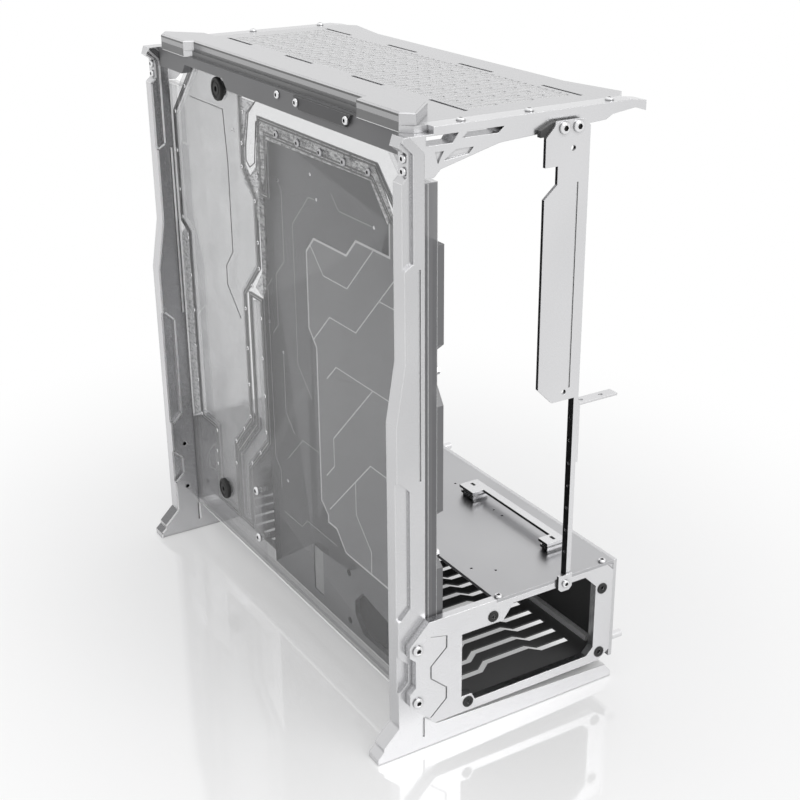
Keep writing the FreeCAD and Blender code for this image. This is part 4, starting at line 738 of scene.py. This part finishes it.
def lines(name, paths, wide, material, face, proud=LINE_PROUD, sunk=LINE_SUNK):
    """Inlaid lines on a face across X, from places in millimetres."""
    bm = bmesh.new()
    for path in paths:
        add_line(bm, [(y * MM, z * MM) for y, z in path], wide, face - proud, face + sunk)
    return piece(name, bm, material, smooth=False)


# The tray's inlaid lines: a stepped border round its rear half, traces inside it and faint ones outside
BORDER_LINES = [
    [(-165, 430), (-165, 403), (-113, 403), (-97, 387), (-42, 387), (-28, 373), (-28, 304), (-41, 290),
     (-41, 143), (-53, 133), (-53, 126), (-68, 126), (-84, 109), (-158, 109), (-226, 109)],
]
TRACE_LINES = [
    [(-35, 380), (-57, 359), (-97, 359), (-141, 403)],
    [(-36, 296), (-66, 325), (-110, 325), (-173, 388), (-206, 388)],
    [(-148, 363), (-210, 363)],
    [(-58, 267), (-75, 283), (-222, 283)],
    [(-136, 283), (-67, 214), (-67, 187), (-52, 172)],
    [(-56, 140), (-130, 213), (-222, 213)],
    [(-104, 187), (-104, 156), (-129, 131), (-129, 110)],
]
FAINT_LINES = [
    [(20, 421), (15, 416), (15, 352), (32, 336), (32, 288), (43, 277)],
    [(-46, 421), (-35, 421), (-4, 391), (-4, 262), (-29, 237)],
    [(-74, 433), (-86, 421), (-138, 421)],
    [(24, 262), (24, 205), (8, 189)],
    [(24, 158), (-8, 189), (-40, 189)],
    [(36, 97), (0, 97), (-11, 108), (-68, 108)],
    [(40, 330), (50, 320), (50, 150), (40, 140), (40, 120)],
]
TRAY_FACE = TRAY_LOW[0]
lines("tray_border_line", BORDER_LINES, BORDER_WIDE, "white_fill", TRAY_FACE)
lines("tray_trace_lines", TRACE_LINES, TRACE_WIDE, "white_fill", TRAY_FACE)
lines("tray_faint_lines", FAINT_LINES, FAINT_WIDE, "faint_fill", TRAY_FACE)

# The paler panel inside the border
PANEL_PROUD = 0.02 * MM
PANEL_REAR = -200
panel = [(y, z) for y, z in BORDER_LINES[0] if y > PANEL_REAR]
panel += [(PANEL_REAR, panel[-1][1]), (PANEL_REAR, panel[0][1])]

JOINT = COVER_HIGH[0]


def slab(name, outline, low_x, high_x, material):
    """A flat piece of an outline of (y, z) places in millimetres, between two depths."""
    bm = bmesh.new()
    add_prism(bm, [[(x, y * MM, z * MM) for y, z in outline] for x in (low_x, high_x)])
    return piece(name, bm, material, smooth=False)


# What closes the tray's low openings: a pale plate in the slot, a dark plate in the window, and dark discs in
# the two holes as painted shade of the dark inside
FILL_DEEP = 1.0 * MM
slot_path, window_path, _border, *hole_paths = sorted(outlines_of("motherboard_tray"), key=len)
fills = [("slot_plate", slot_path, TRAY_LOW[0] + FILL_DEEP, "faint_fill"),
         ("window_plate", window_path, TRAY_HIGH[0] - FILL_DEEP, "black_rubber")]
for number, hole_path in enumerate(hole_paths):
    fills.append(("tray_hole_shade_%d" % number, hole_path, TRAY_LOW[0] + FILL_DEEP, "black_rubber"))
for name, path, near, material in fills:
    slab(name, [(y / MM, z / MM) for y, z in path], near, TRAY_HIGH[0], material)
slab("tray_panel", panel, TRAY_FACE - PANEL_PROUD, TRAY_FACE + LINE_SUNK, "pale_anodised")

# Bands left rough by the cutter, on the joint of the coolant plate's two sheets
FROST_DEEP = 0.15 * MM
BANDS = {
    "bridge_band": ("frosted_band", [
        (46, 431), (40, 468), (31, 474), (-155, 476), (-183, 443), (-176, 433), (-151, 461), (22, 459),
        (27, 430), (33, 418)]),
    "hook_band": ("frosted_strip", [
        (76, 487), (72, 452), (73, 430), (70, 412), (55, 404), (36, 416), (46, 431), (58, 421), (66, 429),
        (65, 447), (56, 476), (42, 487)]),
    "front_strip": ("frosted_strip", [(224, 328), (208.5, 339), (202, 274), (205.7, 140), (224, 130)]),
    "duct_strip": ("frosted_strip", [
        (36, 415), (55, 403), (42, 372), (42, 338), (58, 318), (44, 312), (36, 322), (33, 400)]),
}
for name, (material, outline) in BANDS.items():
    slab(name, outline, JOINT - FROST_DEEP, JOINT + FROST_DEEP, material)

# Milled steps that show inside the coolant plate
STEP_WIDE = 0.8 * MM
STEP_DEEP = 0.3 * MM
STEP_LINES = [
    [(180, 470), (109, 470), (104, 423), (104, 339), (120, 322), (120, 303), (94, 277)],
    [(43, 487), (60, 475), (69, 446), (70, 428), (58, 420), (45, 429), (38, 467), (31, 472)],
    [(40, 489), (56, 476), (64, 446), (65, 433), (58, 428), (48, 434), (42, 470), (32, 476)],
]
lines("channel_steps", STEP_LINES, STEP_WIDE, "cut_line", JOINT, STEP_DEEP, STEP_DEEP)

# Dark lines along the seal grooves' walls
GROOVE_WIDE = 1.5 * MM
bm = bmesh.new()
for node in ("channel_seals", "duct_seal", "bridge_seal"):
    for outline in outlines_of(node):
        add_line(bm, outline, GROOVE_WIDE, JOINT - STEP_DEEP, JOINT + STEP_DEEP, closed=True)
piece("groove_lines", bm, "cut_line", smooth=False)

# A painted highlight along the lower edge of the coolant plate's cover: a bright metal strip
EDGE_DEEP = 2.0 * MM
LOWEST = COVER_LOW[2] + 0.01 * MM
foot = [vertex.co.y for vertex in NODES["coolant_cover"].data.vertices if vertex.co.z < LOWEST]
corner = [(0.0, 0.0), (EDGE_DEEP, 0.0), (0.0, EDGE_DEEP)]
bm = bmesh.new()
add_prism(bm, [[(COVER_LOW[0] - LINE_PROUD + x, y, COVER_LOW[2] - LINE_PROUD + z) for x, z in corner]
               for y in (min(foot) - LINE_PROUD, max(foot) + LINE_PROUD)])
piece("edge_highlight_strip", bm, "highlight_line", smooth=False)

# Strips along edges: how square on a face looks, how level its neighbour may lie, how far an edge must turn to
# the side asked for, and its least length
FACE_SQUARE = 0.99
FACE_LEVEL = 0.9
SIDE_LEAST = 0.25
STRIP_LEAST = 4.0 * MM


def edge_strips(name, node, facing, toward, wide, material, reach=1.0, skip=-1.0):
    """Narrow strips along the convex edges of a CAD node's faces that look one way, on one side of them.

    reach is how far behind the node's outermost place these faces may lie, and skip how far they must.
    """
    source = bmesh.new()
    source.from_mesh(NODES[node].data)
    bmesh.ops.remove_doubles(source, verts=source.verts[:], dist=SAME_PLACE)
    source.normal_update()
    bm = bmesh.new()
    outermost = max(vertex.co.dot(facing) for vertex in source.verts)
    for face in source.faces:
        behind = outermost - face.verts[0].co.dot(facing)
        if face.normal.dot(facing) < FACE_SQUARE or behind > reach or behind < skip:
            continue
        for loop in face.loops:
            across = loop.link_loop_radial_next.face
            first, second = loop.vert.co, loop.link_loop_next.vert.co
            along = second - first
            inward = facing.cross(along).normalized()
            below = (across.calc_center_median() - first).dot(facing) < -SAME_PLACE
            beside = -inward.dot(toward) >= SIDE_LEAST
            level = across.normal.dot(facing) > FACE_LEVEL
            if level or not below or not beside or along.length < STRIP_LEAST:
                continue
            low = [first, second, second + inward * wide, first + inward * wide]
            add_prism(bm, [[corner + facing * rise for corner in low] for rise in (-LINE_SUNK, LINE_PROUD)])
    source.free()
    return piece(name, bm, material, smooth=False)


# Painted highlights along the far upright's relief, lines along the roof's edge, painted shade on the roof
# panel's side, and painted light as white strips in the roof's slots and on the ledge of the near foot
REAR_SIDE = Vector(REARWARD)
COOLANT_SIDE = Vector(OUTWARD)
UPWARD = Vector((0.0, 0.0, 1.0))
RELIEF_WIDE = 1.8 * MM
LIP_WIDE = 1.5 * MM
SIDE_WIDE = 4.4 * MM
OUTER_REACH = 10.0 * MM
SLOT_WIDE = 3.5 * MM
LEDGE_WIDE = 12.0 * MM
LEDGE_REACH = 505.0 * MM
LEDGE_SKIP = 485.0 * MM
LIP_JOINT_WIDE = 2.2 * MM
edge_strips("front_upright_edges", "front_upright", REAR_SIDE, COOLANT_SIDE, RELIEF_WIDE, "highlight_line")
edge_strips("roof_lip_edges", "roof_lip", COOLANT_SIDE, UPWARD, LIP_WIDE, "cut_line")
edge_strips("roof_panel_side", "roof_panel", COOLANT_SIDE, UPWARD, SIDE_WIDE, "grey_line",
            reach=OUTER_REACH)
edge_strips("roof_slot_walls", "roof_panel", REAR_SIDE, UPWARD, SLOT_WIDE, "white_fill", skip=OUTER_REACH)
edge_strips("foot_ledge", "rear_upright", UPWARD, REAR_SIDE, LEDGE_WIDE, "white_fill", reach=LEDGE_REACH,
            skip=LEDGE_SKIP)
edge_strips("roof_lip_joint", "roof_lip", COOLANT_SIDE, -UPWARD, LIP_JOINT_WIDE, "grey_line")

# Small pins that close the traces
PIN_RADIUS = 1.6 * MM
PIN_CROWN = 0.7 * PIN_RADIUS
PIN_PROFILE = [(PIN_RADIUS, 0.0), (PIN_RADIUS, LINE_SUNK), (PIN_CROWN, LINE_SUNK + LINE_PROUD)]
PIN_PLACES = [(-39, 441), (21, 423), (49, 403), (-49, 422), (-142, 421), (50, 286), (24, 264), (26, 134)]
bm = bmesh.new()
for y, z in PIN_PLACES:
    add_rings(bm, PIN_PROFILE, Vector((TRAY_LOW[0] + LINE_SUNK, y * MM, z * MM)), "-X")
piece("tray_pins", bm, "steel")

# Clamp screws round the tank and the duct, let into the coolant plate's cover
CLAMP_RADIUS = 1.9 * MM
CLAMP_HIGH = 0.9 * MM
CLAMP_PLACES = [
    (181, 480), (208, 452), (210, 414), (210, 376), (208, 349), (198, 330), (197, 292), (195, 256),
    (198, 217), (198, 180), (194, 144), (157, 139), (160, 115), (160, 101), (58, 477), (80, 457), (63, 449),
    (65, 428), (36, 425), (42, 402), (40, 365), (40, 341), (57, 320), (73, 294), (73, 255), (74, 218),
    (75, 185), (91, 166), (111, 145), (114, 120), (41, 294), (42, 255), (41, 218), (42, 181), (57, 154),
    (77, 135),
]
bm = bmesh.new()
for y, z in CLAMP_PLACES:
    add_button_head(bm, Vector((COVER_LOW[0], y * MM, z * MM)), "-X", CLAMP_RADIUS, CLAMP_HIGH)
# Painted shade in the hex sockets
piece("clamp_screws", bm, "steel", second="black_rubber")

# Rubber washers on the power supply's screw holes
WASHER_OUTER = 4.9 * MM
WASHER_INNER = 2.1 * MM
WASHER_HIGH = 1.0 * MM
WASHER_SHOULDER = 0.6 * WASHER_HIGH
WASHER_PROFILE = [
    (WASHER_INNER, 0.0), (WASHER_OUTER, 0.0), (WASHER_OUTER, WASHER_SHOULDER),
    (WASHER_OUTER * 0.92, WASHER_HIGH), (WASHER_INNER * 1.25, WASHER_HIGH), (WASHER_INNER, WASHER_SHOULDER),
    (WASHER_INNER, 0.0),
]
SUPPLY_HOLES = [(-41.0, 35.7), (97.0, 35.7), (97.0, 99.7), (-17.0, 109.7)]
bm = bmesh.new()
for x, z in SUPPLY_HOLES:
    add_rings(bm, WASHER_PROFILE, Vector((x * MM, PLATE_LOW[1], z * MM)), "-Y", close=False)
bmesh.ops.remove_doubles(bm, verts=bm.verts[:], dist=SAME_PLACE)
piece("supply_washers", bm, "black_rubber")

# Port plugs: a rolled rim, a groove, a raised middle with a hex socket, and a shank in the port
SHANK_RADIUS = 6.4 * MM
PLUG_PROFILE = [(0.97, 0.0), (1.0, 0.1), (1.0, 0.7), (0.95, 0.92), (0.88, 1.0), (0.74, 1.0), (0.70, 0.8),
                (0.56, 0.8), (0.52, 0.95), (0.34, 0.95)]
PLUG_SOCKET = 0.22
for node in ("upper_port_plug", "lower_port_plug"):
    low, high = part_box(node)
    middle = Vector((COVER_LOW[0], (low[1] + high[1]) / 2, (low[2] + high[2]) / 2))
    reach = (high[1] - low[1]) / 2
    tall = COVER_LOW[0] - low[0]
    socket = hex_reach(reach * PLUG_SOCKET)
    rings = [(SHANK_RADIUS, COVER_LOW[0] - high[0]), (SHANK_RADIUS, 0.0)]
    rings += [(reach * wide, tall * rise) for wide, rise in PLUG_PROFILE]
    rings += [(socket, rings[-1][1]), (socket, 0.0)]
    bm = bmesh.new()
    add_rings(bm, rings, middle, "-X")
    plug = piece(node + "_turned", bm, "black_rubber")
    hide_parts(node)

# Blocks that close the cut corners of the end plates against the cover and the side wall
HIGH_CORNER = 6.0 * MM
BLOCK_FIT = 0.15 * MM
BLOCK_LEG = HIGH_CORNER - 4 * BLOCK_FIT
BLOCK_ROUND = 0.3 * MM
ROUND_STEPS = 2
bm = bmesh.new()
for node in ("rear_end_plate", "front_end_plate"):
    low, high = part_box(node)
    right = WALL_LOW[0] - BLOCK_FIT
    top = BAY_LOW[2] - BLOCK_FIT
    corner = [(right, top), (right - BLOCK_LEG, top), (right, top - BLOCK_LEG)]
    add_prism(bm, [[(x, y, z) for x, z in corner] for y in (low[1] + BLOCK_FIT, high[1] - BLOCK_FIT)])
bmesh.ops.bevel(bm, geom=bm.edges[:], offset=BLOCK_ROUND, segments=ROUND_STEPS, affect="EDGES", profile=0.5)
piece("corner_blocks", bm, "silver_aluminium")

# Floor
mesh = bpy.data.meshes.new("studio_floor")
corners = [(-1, -1), (1, -1), (1, 1), (-1, 1)]
mesh.from_pydata([(x * FLOOR_HALF, y * FLOOR_HALF, -FLOOR_DROP) for x, y in corners], [], [(0, 1, 2, 3)])
mesh.materials.append(floor_material())
floor = bpy.data.objects.new("studio_floor", mesh)
scene.collection.objects.link(floor)

# World: white where the camera, metal and glass see it, softer where it only lights
SOFT_LIGHT = 0.6
scene.world = bpy.data.worlds.new("studio")
tree = Tree(scene.world, "OutputWorld")
soft = tree.add("Background", {"Color": WHITE, "Strength": SOFT_LIGHT})
white = tree.add("Background", {"Color": WHITE, "Strength": 1.0})
tree.finish(tree.blend(tree.watched(), soft, white))


def area_light(name, place, target, size, power):
    lamp = bpy.data.lights.new(name, "AREA")
    lamp.shape = "RECTANGLE"
    lamp.size, lamp.size_y = size
    lamp.energy = power
    thing = bpy.data.objects.new(name, lamp)
    thing.location = place
    aim = Vector(target) - Vector(place)
    thing.rotation_euler = aim.to_track_quat("-Z", "Y").to_euler()
    scene.collection.objects.link(thing)


# Lamps: name, place, target, size and power
LAMPS = [
    ("key_light", (0.6, -1.9, 1.9), (0.0, 0.0, 0.25), (1.6, 1.6), 22.0),
    ("top_light", (0.0, 0.2, 2.4), (0.0, 0.0, 0.3), (2.2, 2.2), 8.0),
]
for lamp in LAMPS:
    area_light(*lamp)

# Camera
lens = bpy.data.cameras.new("photo_camera")
lens.lens = LENS_MM
lens.sensor_width = SENSOR_MM
lens.sensor_fit = "HORIZONTAL"
lens.shift_x = SHIFT_X
lens.shift_y = SHIFT_Y
lens.clip_start = CLIP_START
camera = bpy.data.objects.new("photo_camera", lens)
turn = (Matrix.Rotation(CAMERA_HEADING, 4, "Z") @ Matrix.Rotation(math.pi / 2 - CAMERA_PITCH, 4, "X")
        @ Matrix.Rotation(CAMERA_ROLL, 4, "Z"))
camera.matrix_world = Matrix.Translation(EYE) @ turn
scene.collection.objects.link(camera)
scene.camera = camera

bpy.context.view_layer.update()
